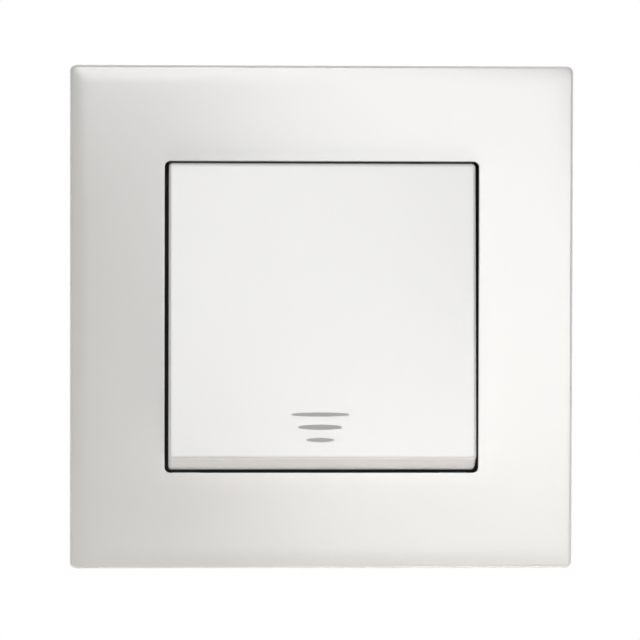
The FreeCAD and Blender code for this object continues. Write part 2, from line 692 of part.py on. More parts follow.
def base_housing():
    body = mechanism_block(LID_BACK_Y, BASE_BACK_Y, LOBE_DEPTH)
    back = [e for e in body.Edges if e.BoundBox.YMin > BASE_BACK_Y - 0.01]
    body = body.makeFillet(BASE_EDGE, back)
    cuts = [slab(POCKET_OUT, BASE_HALF_Z - BASE_WALL_Z, 0, DECK_Y, LID_RIM)]
    cuts.append(slab(CHAMBER_HALF_X, CHAMBER_HALF_Z, 0, FLOOR_Y))
    for piece in terminal_cuts():
        cuts += in_four_corners(piece)
    for side in (1, -1):
        cuts.append(rod_y(0, side * LID_SCREW_Z, SCREW_RADIUS + RUNNING, 0, LOBE_DEPTH - LOBE_END))
    run = (GAUGE_LENGTH - GAUGE_WIDTH) / 2
    cuts.append(oblong(0, 0, 0, run, GAUGE_WIDTH / 2, BASE_BACK_Y - GAUGE_DEPTH, BASE_BACK_Y + PAST))
    body = body.fuse(in_four_corners(base_rib())).cut(cuts)
    channel = claw_channel()
    return body.fuse([channel, mirror_x(channel)]).removeSplitter()


def lid_screws():
    end_y = LOBE_DEPTH - LOBE_END - TIP_ROOM
    screws = []
    for side in (1, -1):
        screws.append(pan_screw(0, side * LID_SCREW_Z, RAISED_FRONT_Y, HEAD_RADIUS, SCREW_RADIUS, end_y))
    return Part.makeCompound(screws)


# Rocker, drawn level and then tilted to its resting side


def rise(forward):
    """The place along Y of a point that is so far in front of the pivot."""
    return PIVOT_Y - forward


def cap_half_x(forward, inset=0.0):
    return FACE_HALF_X + (RISE - forward) * ROCKER_SIDE_DRAFT - inset


def cap_half_z(forward, inset=0.0):
    return FACE_HALF_Z + (RISE - forward) * ROCKER_END_DRAFT - inset


def cap_form(front, back, inset, corner):
    """The tapering form of the rocker between two distances from the pivot."""
    return tapered(
        rise(front), cap_half_x(front, inset), cap_half_z(front, inset),
        rise(back), cap_half_x(back, inset), cap_half_z(back, inset), corner,
    )


def mark_solids():
    """Three lens-shaped inlays, one under the other, in the rocker's face."""
    solids = []
    for number, (width, height) in enumerate(zip(MARK_WIDTHS, MARK_HEIGHTS)):
        z = MARK_TOP_Z - number * MARK_PITCH
        left = (MARK_X - width / 2, z)
        right = (MARK_X + width / 2, z)
        over = (MARK_X, z + height / 2)
        under = (MARK_X, z - height / 2)
        lens = outline(facing(rise(RISE)), left, (over, right), (under, left))
        solids.append(lens.extrude(V(0, MARK_DEPTH, 0)))
    return solids


def cap_clip():
    """A hook under the rocker's face that holds the cradle, in the quarter +X +Z."""
    under = CRADLE_TOP - SLIDING
    inner = CRADLE_HALF_Z + SLIDING
    outer = inner + CLIP_THICK
    side = outline(
        on_side(CLIP_X - CLIP_WIDTH / 2),
        (rise(CAP_ROOF + ROOT), inner),
        (rise(under), inner),
        (rise(under), inner - BARB),
        (rise(under - CLIP_NOSE), inner),
        (rise(under - CLIP_NOSE), outer),
        (rise(CAP_ROOF + ROOT), outer),
    )
    return side.extrude(V(CLIP_WIDTH, 0, 0))


def cap_ribs():
    """Two ribs along X and two along Z that stiffen the rocker's face from inside."""
    front, back = rise(CAP_ROOF + ROOT), rise(CAP_ROOF - CAP_RIB)
    end_x = cap_half_x(CAP_ROOF, ROCKER_WALL / 2)
    end_z = cap_half_z(CAP_ROOF, ROCKER_WALL / 2)
    half = CAP_RIB / 2
    at_x, at_z = CHEEK_X + CAP_RIB_ROOM_X, CRADLE_HALF_Z + CAP_RIB_ROOM_Z
    level = block(-end_x, end_x, front, back, at_z - half, at_z + half)
    upright = block(at_x - half, at_x + half, front, back, -end_z, end_z)
    return [level, mirror_z(level), upright, mirror_x(upright)]


def rocker_cap():
    body = cap_form(RISE, CAP_SKIRT, 0.0, ROCKER_CORNER)
    front = [e for e in body.Edges if e.BoundBox.YMax < rise(RISE) + 0.01]
    body = body.makeFillet(ROCKER_EDGE, front)
    body = body.cut(cap_form(CAP_ROOF, CAP_SKIRT - PAST, ROCKER_WALL, ROCKER_CORNER))
    body = body.fuse(cap_ribs() + in_four_corners(cap_clip()))
    return body.cut(mark_solids()).removeSplitter()


def cradle_cheek(x0, x1):
    """A cheek that narrows from the rocker's roof to a round end about the pivot."""
    side = outline(
        on_side(x0),
        (rise(CRADLE_TOP), -CRADLE_HALF_Z),
        (rise(CRADLE_TOP), CRADLE_HALF_Z),
        (rise(CHEEK_RADIUS), CHEEK_RADIUS),
        (rise(0), CHEEK_RADIUS),
        ((rise(-CHEEK_RADIUS), 0), (rise(0), -CHEEK_RADIUS)),
        (rise(CHEEK_RADIUS), -CHEEK_RADIUS),
    )
    return side.extrude(V(x1 - x0, 0, 0))


def rocker_cradle():
    body = slab(CHEEK_X, CRADLE_HALF_Z, rise(CAP_ROOF), rise(CRADLE_TOP))
    cheek = cradle_cheek(CHEEK_X - CHEEK_THICK, CHEEK_X)
    pin = rod_x(PIVOT_Y, 0, PIN_RADIUS, CHEEK_X, CHEEK_X + PIN_LENGTH)
    tube = rod_y(0, 0, TUBE_OUTER, rise(CRADLE_TOP), rise(-TUBE_REACH))
    web_x = CHEEK_X - CHEEK_THICK / 2
    web_end = rise(TUBE_BLIND - WEB_PAST)
    web = block(-web_x, web_x, rise(CRADLE_TOP), web_end, -WEB_THICK / 2, WEB_THICK / 2)
    body = body.fuse([cheek, mirror_x(cheek), pin, mirror_x(pin), tube, web])
    bore = rod_y(0, 0, PLUNGER_RADIUS + SLIDING, rise(TUBE_BLIND), rise(-TUBE_REACH) + PAST)
    return body.cut(bore).removeSplitter()


def plunger():
    head_y = rise(-TUBE_REACH) - PLUNGER_HEAD
    nose_y = rise(-NOSE_REACH)
    body = rod_y(0, 0, PLUNGER_RADIUS, head_y, rise(-TUBE_REACH))
    stem = rod_y(0, 0, NOSE_RADIUS, rise(-TUBE_REACH), nose_y)
    nose = Part.makeSphere(NOSE_RADIUS, V(0, nose_y, 0))
    guide = rod_y(0, 0, SPRING_GUIDE, head_y - GUIDE_LENGTH, head_y)
    return body.fuse([stem, nose, guide]).removeSplitter()


def helix_point(turn, start_y, pitch):
    angle = 2 * math.pi * turn
    return V(SPRING_RADIUS * math.cos(angle), start_y + pitch * turn, SPRING_RADIUS * math.sin(angle))


def helix_tangent(turn, pitch):
    angle = 2 * math.pi * turn
    round_way = 2 * math.pi * SPRING_RADIUS
    tangent = V(-round_way * math.sin(angle), pitch, round_way * math.cos(angle))
    return tangent.normalize()


def arc_from_corner(first, corner, last):
    """The arc that leaves first towards corner and comes into last from it."""
    chord = last.sub(first).Length / 2
    weight = chord / corner.sub(first).Length
    middle = first.add(last).add(corner * (2 * weight)) * (1 / (2 + 2 * weight))
    return Part.Arc(first, middle, last).toShape()


def biarc(first, first_way, last, last_way):
    """Two arcs that meet smoothly and carry one point and direction over to another."""
    across = last.sub(first)
    both = first_way.add(last_way)
    spread = 2 * (1 - first_way.dot(last_way))
    along = across.dot(both)
    reach = (-along + math.sqrt(along ** 2 + spread * across.dot(across))) / spread
    corner_a = first.add(first_way * reach)
    corner_b = last.sub(last_way * reach)
    join = corner_a.add(corner_b) * 0.5
    return [arc_from_corner(first, corner_a, join), arc_from_corner(join, corner_b, last)]


def plunger_spring():
    """The coil spring in the cradle's tube, as one unbroken wire."""
    seat = SPRING_WIRE / 2 + SPRING_SEAT
    start_y = rise(TUBE_BLIND) + seat
    end_y = rise(-TUBE_REACH) - PLUNGER_HEAD - seat
    pitch = (end_y - start_y) / SPRING_TURNS
    edges = []
    for quarter in range(4 * SPRING_TURNS):
        here, there = quarter / 4, (quarter + 1) / 4
        edges += biarc(
            helix_point(here, start_y, pitch), helix_tangent(here, pitch),
            helix_point(there, start_y, pitch), helix_tangent(there, pitch),
        )
    circle = Part.Circle(helix_point(0, start_y, pitch), helix_tangent(0, pitch), SPRING_WIRE / 2)
    section = Part.Wire(circle.toShape())
    coil = Part.Wire(edges).makePipeShell([section], True, False)
    print("spring: least gap between turns", round(least_turn_gap(start_y, pitch), 3), "mm")
    return coil


def least_turn_gap(start_y, pitch):
    """The nearest that two points on neighbouring turns come, less the wire's thickness."""
    steps = 48
    nearest = min(
        helix_point(0, start_y, pitch).distanceToPoint(helix_point(1 + step / steps, start_y, pitch))
        for step in range(-steps // 2, steps // 2)
    )
    return nearest - SPRING_WIRE


# Contacts, with the see-saw drawn level and then tilted to its resting side


def contact_arm():
    strip = slab(ARM_HALF_X, ARM_HALF_Z, KNIFE_Y - ARM_THICK, KNIFE_Y, 1.0)
    ear_x = ARM_HALF_X + ARM_THICK
    ear_end_y = KNIFE_Y + ARM_EAR_DROP
    ear = block(ARM_HALF_X, ear_x, KNIFE_Y - ARM_THICK, ear_end_y, -ARM_EAR_HALF_Z, ARM_EAR_HALF_Z)
    return strip.fuse([ear, mirror_x(ear)]).removeSplitter()


def contact_buttons(radius, y0, y1):
    """A flat round contact at each end."""
    return [rod_y(0, side * CONTACT_Z, radius, y0, y1) for side in (1, -1)]


def moving_contact_tips():
    """The see-saw's contacts, domed so that they close flat on the fixed ones."""
    tips = []
    for button in contact_buttons(TIP_RADIUS, KNIFE_Y, KNIFE_Y + TIP_HEIGHT):
        dome_y = KNIFE_Y + TIP_HEIGHT - TIP_DOME
        tips.append(button.common(Part.makeSphere(TIP_DOME, V(0, dome_y, button.CenterOfMass.z))))
    return Part.makeCompound(tips)


def bent_strip(half_z, z, chamber_end):
    """A strip along the chamber floor, up its wall, over the deck and down into a terminal."""
    wall = CHAMBER_HALF_X
    deck_front = DECK_Y - STRIP
    tongue_out = TONGUE_X_IN + TONGUE_STRIP
    low, high = z - half_z, z + half_z
    floor = block(chamber_end, wall, STRIP_FRONT_Y, FLOOR_Y, low, high)
    riser = block(wall - STRIP, wall, deck_front, FLOOR_Y, low, high)
    bridge = block(wall - STRIP, tongue_out, deck_front, DECK_Y, low, high)
    tongue = block(TONGUE_X_IN, tongue_out, deck_front, TONGUE_END_Y, low, high)
    return [floor, riser, bridge, tongue]


def traveller():
    """The conductor of the upper contact, from the contact to its terminal."""
    pieces = bent_strip(STRIP_HALF_Z, TERMINAL_Z, -RIVET_RADIUS - RIVET_LAP)
    return pieces[0].fuse(pieces[1:]).removeSplitter()


def common_rail():
    """The ridge that the see-saw rocks on, and the conductor to the two left terminals."""
    tongue_out = TONGUE_X_IN + TONGUE_STRIP
    rail = bent_strip(RIDGE_HALF, 0, -ARM_HALF_X + FREE)[:3]
    spread_half = TERMINAL_Z + STRIP_HALF_Z
    spreader_in = TONGUE_X_IN - SPREADER_REACH
    spreader = block(spreader_in, tongue_out, DECK_Y - STRIP, DECK_Y, -spread_half, spread_half)
    low = TERMINAL_Z - STRIP_HALF_Z
    upper = block(TONGUE_X_IN, tongue_out, DECK_Y - STRIP, TONGUE_END_Y, low, spread_half)
    edge_y = KNIFE_Y + NOSE_GAP
    knife = outline(
        on_side(-ARM_HALF_X + FREE),
        (STRIP_FRONT_Y, -RIDGE_HALF),
        (edge_y, -KNIFE_HALF),
        (edge_y, KNIFE_HALF),
        (STRIP_FRONT_Y, RIDGE_HALF),
    ).extrude(V(2 * (ARM_HALF_X - FREE), 0, 0))
    body = rail[0].fuse(rail[1:] + [spreader, upper, mirror_z(upper), knife])
    return mirror_x(body.removeSplitter())


# Screw terminals, for the quarter +X +Z


def terminal_cage():
    """A square loop round the wire and the conductor's tongue, with the screw's hole."""
    low, high = TERMINAL_Z - CAGE_HALF_Z, TERMINAL_Z + CAGE_HALF_Z
    end_y = CAGE_TOP_Y + CAGE_DEPTH
    body = block(CAGE_IN, CAGE_OUT, CAGE_TOP_Y, end_y, low, high, CAGE_CORNER)
    wall = CAGE_WALL
    body = body.cut(block(CAGE_IN + wall, CAGE_OUT - wall, 0, FLOOR_Y + PAST, low + wall, high - wall))
    hole = rod_x(TERMINAL_Y, TERMINAL_Z, SCREW_RADIUS + RUNNING, CAGE_OUT - wall - PAST, CAGE_OUT + PAST)
    return body.cut(hole)


def terminal_screw():
    """A slotted screw along X, whose tip turns on the conductor's tongue."""
    tip = TONGUE_X_IN + TONGUE_STRIP + RUNNING
    head_in = POCKET_OUT + SLIDING
    head_out = head_in + TERMINAL_HEAD_HEIGHT
    shank = rod_x(TERMINAL_Y, TERMINAL_Z, SCREW_RADIUS, tip, head_in)
    head = rod_x(TERMINAL_Y, TERMINAL_Z, TERMINAL_HEAD_RADIUS, head_in, head_out)
    half = TERMINAL_SLOT_HALF
    reach = TERMINAL_HEAD_RADIUS + PAST
    slot = block(
        head_out - RECESS_DEPTH, head_out + PAST, TERMINAL_Y - half, TERMINAL_Y + half,
        TERMINAL_Z - reach, TERMINAL_Z + reach,
    )
    return shank.fuse(head).cut(slot).removeSplitter()


# Claws, for the side +X


def cam_point(travel):
    """Where the nut's edge touches the claw after so much travel, as a place on the resting claw."""
    swing = math.radians(CLAW_SWING * travel / NUT_TRAVEL)
    x = NUT_OUTER_X - CLAW_PIVOT_X
    y = NUT_Y - travel - CLAW_PIVOT_Y
    turned_x = x * math.cos(swing) - y * math.sin(swing)
    turned_y = y * math.cos(swing) + x * math.sin(swing)
    return (CLAW_PIVOT_X + turned_x + CAM_GAP, CLAW_PIVOT_Y + turned_y)


def claw():
    """A forked lever with an eye at the front, a cam for the nut and teeth at the back."""
    outer = CLAW_PIVOT_X + EYE_RADIUS
    inner = outer - CLAW_THICK
    first, middle, last = cam_point(0), cam_point(NUT_TRAVEL / 2), cam_point(NUT_TRAVEL)
    tooth_y = CLAW_END_Y - CLAW_THICK
    side = outline(
        on_top(-CLAW_HALF_Z),
        (inner, first[1] + CAM_RISE),
        first,
        (middle, last),
        (CLAW_PIVOT_X - EYE_RADIUS, CLAW_PIVOT_Y),
        ((CLAW_PIVOT_X, CLAW_PIVOT_Y - EYE_RADIUS), (outer, CLAW_PIVOT_Y)),
        (outer, tooth_y),
        (outer + TOOTH_REACH, (tooth_y + CLAW_END_Y) / 2),
        (outer, CLAW_END_Y),
        (inner, CLAW_END_Y),
    )
    body = side.extrude(V(0, 0, 2 * CLAW_HALF_Z))
    fork = SCREW_RADIUS + FREE + SLIDING
    body = body.cut(block(CLAW_SCREW_X - HEAD_RADIUS, inner, 0, first[1] + CAM_RISE + PAST, -fork, fork))
    pitch = 2 * CLAW_HALF_Z / TOOTH_COUNT
    for gap in range(1, TOOTH_COUNT):
        z = -CLAW_HALF_Z + gap * pitch
        past_x = outer + TOOTH_REACH + PAST
        notch = outline(
            facing(tooth_y - PAST),
            (outer + TOOTH_ROOT, z),
            (past_x, z - pitch / 2),
            (past_x, z + pitch / 2),
        )
        body = body.cut(notch.extrude(V(0, CLAW_THICK + 2 * PAST, 0)))
    pin_end = EAR_SHEET_Z + SHEET + FITTED
    pin = rod_z(CLAW_PIVOT_X, CLAW_PIVOT_Y, CLAW_PIN, CLAW_HALF_Z, pin_end)
    return body.fuse([pin, mirror_z(pin)]).removeSplitter()


def claw_nut():
    """A square nut that rides between the rails on the base."""
    body = block(
        BASE_HALF_X + FREE, NUT_OUTER_X, NUT_Y, NUT_Y + NUT_LENGTH, -CLAW_HALF_Z, CLAW_HALF_Z
    )
    hole = rod_y(CLAW_SCREW_X, 0, SCREW_RADIUS + RUNNING, NUT_Y - PAST, NUT_Y + NUT_LENGTH + PAST)
    return body.cut(hole)


def claw_screw():
    return pan_screw(CLAW_SCREW_X, 0, RAISED_FRONT_Y, HEAD_RADIUS, SCREW_RADIUS, CLAW_SCREW_END_Y)


def save(name, shape):
    """Writes one node and says what it holds."""
    shape.exportStep(os.path.join("parts", name + ".step"))
    print(name, "valid" if shape.isValid() else "NOT VALID", len(shape.Solids), round(shape.Volume, 2))


def main():
    os.makedirs("parts", exist_ok=True)
    save("cover_plate", cover_plate())
    save("inner_bezel", inner_bezel())
    save("support_plate", support_plate())
    save("mechanism_lid", mechanism_lid())
    save("base_housing", base_housing())
    save("lid_screws", lid_screws())
    save("rocker_cap", tilted(rocker_cap(), PIVOT_Y, -ROCKER_TILT))
    save("rocker_marks", tilted(Part.makeCompound(mark_solids()), PIVOT_Y, -ROCKER_TILT))
    save("rocker_cradle", tilted(rocker_cradle(), PIVOT_Y, -ROCKER_TILT))
    save("plunger", tilted(plunger(), PIVOT_Y, -ROCKER_TILT))
    save("plunger_spring", tilted(plunger_spring(), PIVOT_Y, -ROCKER_TILT))
    save("contact_arm", tilted(contact_arm(), KNIFE_Y, ARM_TILT))
    save("moving_contact_tips", tilted(moving_contact_tips(), KNIFE_Y, ARM_TILT))
    rivets = contact_buttons(RIVET_RADIUS, STRIP_FRONT_Y - RIVET_HEIGHT, STRIP_FRONT_Y)
    save("fixed_contact_tips", Part.makeCompound(rivets))
    save("common_rail", common_rail())
    upper = traveller()
    save("upper_traveller", upper)
    save("lower_traveller", mirror_z(upper))
    cage = terminal_cage()
    screw = terminal_screw()
    for place, turn_to in (
        ("upper_right", lambda s: s),
        ("upper_left", mirror_x),
        ("lower_right", mirror_z),
        ("lower_left", lambda s: mirror_x(mirror_z(s))),
    ):
        save("terminal_cage_" + place, turn_to(cage))
        save("terminal_screw_" + place, turn_to(screw))
    for place, turn_to in (("right", lambda s: s), ("left", mirror_x)):
        save("claw_" + place, turn_to(claw()))
        save("claw_nut_" + place, turn_to(claw_nut()))
        save("claw_screw_" + place, turn_to(claw_screw()))


main()
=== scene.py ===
import bmesh
import bpy
import json
import math
from mathutils import Matrix, Vector


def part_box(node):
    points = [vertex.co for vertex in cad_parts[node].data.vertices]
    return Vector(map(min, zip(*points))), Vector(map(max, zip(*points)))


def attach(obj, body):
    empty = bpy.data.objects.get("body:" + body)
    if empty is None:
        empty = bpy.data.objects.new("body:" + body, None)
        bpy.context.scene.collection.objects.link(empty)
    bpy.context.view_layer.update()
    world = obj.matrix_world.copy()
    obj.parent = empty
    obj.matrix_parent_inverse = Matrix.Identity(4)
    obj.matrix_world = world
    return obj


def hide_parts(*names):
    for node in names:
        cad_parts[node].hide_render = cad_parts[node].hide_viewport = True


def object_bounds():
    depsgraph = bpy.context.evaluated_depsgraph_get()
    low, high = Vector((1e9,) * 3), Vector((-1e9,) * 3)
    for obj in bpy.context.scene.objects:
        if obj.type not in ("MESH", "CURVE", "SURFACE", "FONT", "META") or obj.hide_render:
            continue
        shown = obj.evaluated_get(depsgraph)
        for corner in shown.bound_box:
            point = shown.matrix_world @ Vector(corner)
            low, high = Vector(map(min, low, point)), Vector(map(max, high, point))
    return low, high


# A flush two-way rocker switch. X is to the right, Y goes into the wall and Z is up.
# Sizes in this script are in millimetres, and turn into metres where a mesh is made.

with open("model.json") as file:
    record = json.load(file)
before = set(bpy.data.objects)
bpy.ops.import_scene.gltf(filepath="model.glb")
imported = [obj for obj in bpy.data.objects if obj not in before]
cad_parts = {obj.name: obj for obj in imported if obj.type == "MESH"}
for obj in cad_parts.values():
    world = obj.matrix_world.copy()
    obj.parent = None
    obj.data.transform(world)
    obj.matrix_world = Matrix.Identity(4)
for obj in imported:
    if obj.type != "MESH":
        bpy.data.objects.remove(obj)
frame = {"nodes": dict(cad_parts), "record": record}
cad_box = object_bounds()
nodes = frame["nodes"]
MM = 0.001


# Sizes


def node_box(node):
    """The lowest and the highest corner of a node in millimetres."""
    low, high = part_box(node)
    return [c / MM for c in low], [c / MM for c in high]


PLATE_LOW, PLATE_HIGH = node_box("cover_plate")

# The cover plate's front and window
PLATE_HALF = PLATE_HIGH[0]
PLATE_CORNER = 1.1
PLATE_WALL = 1.8
FRONT_Y = PLATE_LOW[1]
ROLL_WIDTH = 3.0
ROLL_DROP = 0.1
EDGE_ROUND = 0.45
WINDOW_HALF_X = 25.58
WINDOW_HALF_Z = 25.36
WINDOW_CORNER = 0.9
WINDOW_EDGE = 0.12
LIP_BACK_HALF = 25.9
LIP_BACK_Y = FRONT_Y + 1.6
LIP_STRAIGHT = 0.9
LIP_DRAFT = 0.14

# What is behind the plate: rim, ribs, tongues and the notch
PLATE_BACK_Y = FRONT_Y + PLATE_WALL
RIM_IN = 28.4
RIM_EXTRA = 1.0
RIM_CORNER = 1.0
RIM_IN_CORNER = 0.8
RIB_THICK = 1.2
RIB_DEPTH = 3.7
RIB_OFFSET = 15.0
RIB_ROOT = 0.5
RIB_IN_WALL = 1.0
RIM_BACK_Y = PLATE_BACK_Y + RIB_DEPTH + RIM_EXTRA
TONGUE_X = 22.0
TONGUE_WIDTH = 4.0
TONGUE_THICK = 1.0
TONGUE_IN = 26.1
TONGUE_BACK_Y = -3.2
TONGUE_ROOT = 0.3
BARB = 0.6
BARB_LENGTH = 1.6
BARB_FLAT = 0.3
PRY_WIDTH = 8.0
PRY_DEPTH = 0.8

# The rocker, level, with its pivot behind the plate's front
PIVOT_Y = -1.0
ROCKER_TILT = 4.5
RISE = 13.0
FACE_HALF_X = 24.88
FACE_HALF_Z = 23.8
FACE_CORNER = 0.4
SIDE_DRAFT = 0.025
# How far the upper and the lower end reach, each so far in front of the pivot
END_PROFILE = (
    (13.0, 24.02, 23.82), (10.6, 24.28, 24.46), (8.15, 25.25, 25.25), (7.6, 25.4, 25.4),
    (7.0, 25.5, 25.5), (4.8, 25.55, 25.55),
)
SKIRT_DEPTH = 8.2
ROCKER_WALL = 1.5
ROCKER_CORNER = 0.6
ROCKER_IN_CORNER = 0.3
ROCKER_EDGE = 0.35
CAP_RIB = 1.2
CAP_ROOT = 0.2
RIB_LINE_X = 16.0
RIB_LINE_Z = 14.0
CLIP_X = 6.0
CLIP_WIDTH = 4.0
CLIP_IN = 9.1
CLIP_THICK = 1.1
CLIP_HOLD = 1.6
CLIP_NOSE = 1.2

# The three marks, from the top one down. MARK_END is the share of the height that their rounded
# ends keep, and the greater its power, the blunter they are.
MARK_WIDTHS = (9.4, 7.1, 4.5)
MARK_HEIGHTS = (0.70, 0.85, 0.72)
MARK_END = 0.46
MARK_END_POWER = 12.0
MARK_PITCH = 2.06
MARK_TOP_Z = -16.68
MARK_X = -0.4
MARK_DEPTH = 0.3
MARK_PROUD = 0.02

# The screws, those on the front cross-headed and those of the terminals slotted
HEAD_RADIUS = 2.6
HEAD_HEIGHT = 1.6
SHANK_RADIUS = 1.45
CROSS_LENGTH = 3.1
CROSS_WIDTH = 0.7
CROSS_DEPTH = 0.8
TERMINAL_HEAD_HEIGHT = 1.8
TERMINAL_SLOT_WIDTH = 0.8
TERMINAL_SLOT_DEPTH = 0.8
THREAD_PITCH = 0.5
THREAD_DEPTH = 0.2
PLAIN_LENGTH = 0.4
TERMINAL_PLAIN_LENGTH = 0.3

# How far past a face its cut runs
PAST = 1.0

# How finely rounds are stepped
CORNER_STEPS = 8
EDGE_STEPS = 8
ROLL_STEPS = 14
WINDOW_STEPS = 5
ROCKER_STEPS = 7
# A narrow ring beside a round keeps the shading of the flat next to it even.
SIDE_RING = 0.3
FLAT_RING = 0.15
# How much a corner tightens as the ring moves in over a round
EDGE_CORNER_SHARE = 0.5
ROLL_CORNER_SHARE = 0.2
ROCKER_CORNER_SHARE = 0.4

# Edges turn sharp where faces meet at more than these angles
SHELL_SMOOTH = 40.0
MARK_SMOOTH = 30.0
SCREW_SMOOTH = 35.0

# Points this near to each other, in metres, become one
MERGE_DISTANCE = 1e-7


# Mesh helpers


def ring(half_x, half_z, corner, y):
    """Points of a rounded rectangle round the Y axis."""
    points = []
    for quarter, (sx, sz) in enumerate(((1, 1), (-1, 1), (-1, -1), (1, -1))):
        for step in range(CORNER_STEPS + 1):
            angle = math.radians(90 * quarter + 90 * step / CORNER_STEPS)
            x = sx * (half_x - corner) + corner * math.cos(angle)
            z = sz * (half_z - corner) + corner * math.sin(angle)
            points.append((x, y, z))
    return points


def sweep(rings, closed):
    """A skin of quads over rings of equal count.

    Closed joins the last ring to the first, else both get a face."""
    bm = bmesh.new()
    loops = [[bm.verts.new(Vector(p) * MM) for p in points] for points in rings]
    count = len(loops[0])
    pairs = list(zip(loops, loops[1:]))
    if closed:
        pairs.append((loops[-1], loops[0]))
    for a, b in pairs:
        for i in range(count):
            j = (i + 1) % count
            bm.faces.new((a[i], a[j], b[j], b[i]))
    if not closed:
        bm.faces.new(loops[0])
        bm.faces.new(loops[-1])
    return bm


def prism(outline, low, high, place):
    """A solid from a flat outline, run from low to high along the axis that place leaves out."""
    return sweep([[place(u, v, low) for u, v in outline], [place(u, v, high) for u, v in outline]], False)


def box_mesh(low, high):
    """A box between its lowest and its highest corner."""
    (x0, y0, z0), (x1, y1, z1) = low, high
    return prism([(x0, z0), (x1, z0), (x1, z1), (x0, z1)], y0, y1, lambda x, z, y: (x, y, z))


def mirrored(bm, x_sign, z_sign):
    """A copy turned over to another quarter."""
    copy = bm.copy()
    bmesh.ops.scale(copy, vec=(x_sign, 1, z_sign), verts=copy.verts)
    return copy


def in_four_corners(bm):
    """The form and its copies in the other three quarters."""
    return [mirrored(bm, sx, sz) for sx in (1, -1) for sz in (1, -1)]


def as_object(bm, name):
    """Makes an object from a bmesh, with its faces pointing outwards."""
    bmesh.ops.remove_doubles(bm, verts=bm.verts, dist=MERGE_DISTANCE)
    bmesh.ops.recalc_face_normals(bm, faces=bm.faces)
    mesh = bpy.data.meshes.new(name)
    bm.to_mesh(mesh)
    bm.free()
    obj = bpy.data.objects.new(name, mesh)
    bpy.context.scene.collection.objects.link(obj)
    return obj


def settled(obj, name):
    """The evaluated mesh of an object as a plain object, in place of it."""
    graph = bpy.context.evaluated_depsgraph_get()
    mesh = bpy.data.meshes.new_from_object(obj.evaluated_get(graph))
    bpy.data.objects.remove(obj)
    mesh.name = name
    plain = bpy.data.objects.new(name, mesh)
    bpy.context.scene.collection.objects.link(plain)
    return plain


def combined(body, tools, name, operation="UNION"):
    """Fuses closed tools with the body, or cuts them from it."""
    for number, bm in enumerate(tools):
        tool = as_object(bm, f"{name}_tool_{number}")
        step = body.modifiers.new("step", "BOOLEAN")
        step.operation = operation
        step.solver = "EXACT"
        step.object = tool
        body = settled(body, name)
        bpy.data.objects.remove(tool)
    return body


def shade(obj, angle):
    """Smooth shading with sharp edges where faces meet at more than the angle."""
    for polygon in obj.data.polygons:
        polygon.use_smooth = True
    obj.data.set_sharp_from_angle(angle=math.radians(angle))
    return obj


def tilt_to_rest(obj):
    """Turns the rocker's level form about the pivot to its resting side."""
    pivot = Matrix.Translation((0, PIVOT_Y * MM, 0))
    obj.data.transform(pivot @ Matrix.Rotation(math.radians(-ROCKER_TILT), 4, "X") @ pivot.inverted())
    return obj


# Effects that several finishes share


def put(tree, socket, value):
    """Links a socket to another, or gives it a plain value."""
    if isinstance(value, bpy.types.NodeSocket):
        tree.links.new(value, socket)
    else:
        socket.default_value = value


def surface_group(name, inputs):
    """A shader node group with named inputs, whose outputs are a tone, a roughness and a height.

    Returns the tree, its given values, its outputs and the place on the piece."""
    tree = bpy.data.node_groups.new(name, "ShaderNodeTree")
    for label, kind, value in inputs:
        tree.interface.new_socket(label, in_out="INPUT", socket_type=kind).default_value = value
    for label in ("Tone", "Roughness", "Height"):
        tree.interface.new_socket(label, in_out="OUTPUT", socket_type="NodeSocketFloat")
    given = tree.nodes.new("NodeGroupInput").outputs
    out = tree.nodes.new("NodeGroupOutput").inputs
    return tree, given, out, tree.nodes.new("ShaderNodeTexCoord").outputs["Object"]


def noise(tree, place, scale, detail, roughness=0.5):
    """The value of a noise pattern, whose scale is a number or a socket."""
    node = tree.nodes.new("ShaderNodeTexNoise")
    for label, value in (("Vector", place), ("Scale", scale), ("Detail", detail), ("Roughness", roughness)):
        put(tree, node.inputs[label], value)
    return node.outputs["Fac"]


def spread(tree, value, low, high, to_low, to_high):
    """Maps a value from one range to another, held inside it."""
    node = tree.nodes.new("ShaderNodeMapRange")
    limits = (("From Min", low), ("From Max", high), ("To Min", to_low), ("To Max", to_high))
    for label, limit in limits:
        put(tree, node.inputs[label], limit)
    tree.links.new(value, node.inputs["Value"])
    return node.outputs["Result"]


def moulded_skin_group():
    """The faint waviness and fine grain of a moulded surface."""
    tree, given, out, place = surface_group("moulded_skin", [
        ("Wave Scale", "NodeSocketFloat", 60.0), ("Grain Scale", "NodeSocketFloat", 2500.0),
        ("Smooth", "NodeSocketFloat", 0.2), ("Dull", "NodeSocketFloat", 0.3),
    ])
    wave = noise(tree, place, given["Wave Scale"], 2.0)
    grain = noise(tree, place, given["Grain Scale"], 3.0, 0.6)
    tree.links.new(spread(tree, wave, 0.3, 0.7, 0.0, 1.0), out["Tone"])
    tree.links.new(spread(tree, grain, 0.3, 0.7, given["Smooth"], given["Dull"]), out["Roughness"])
    tree.links.new(grain, out["Height"])
    return tree


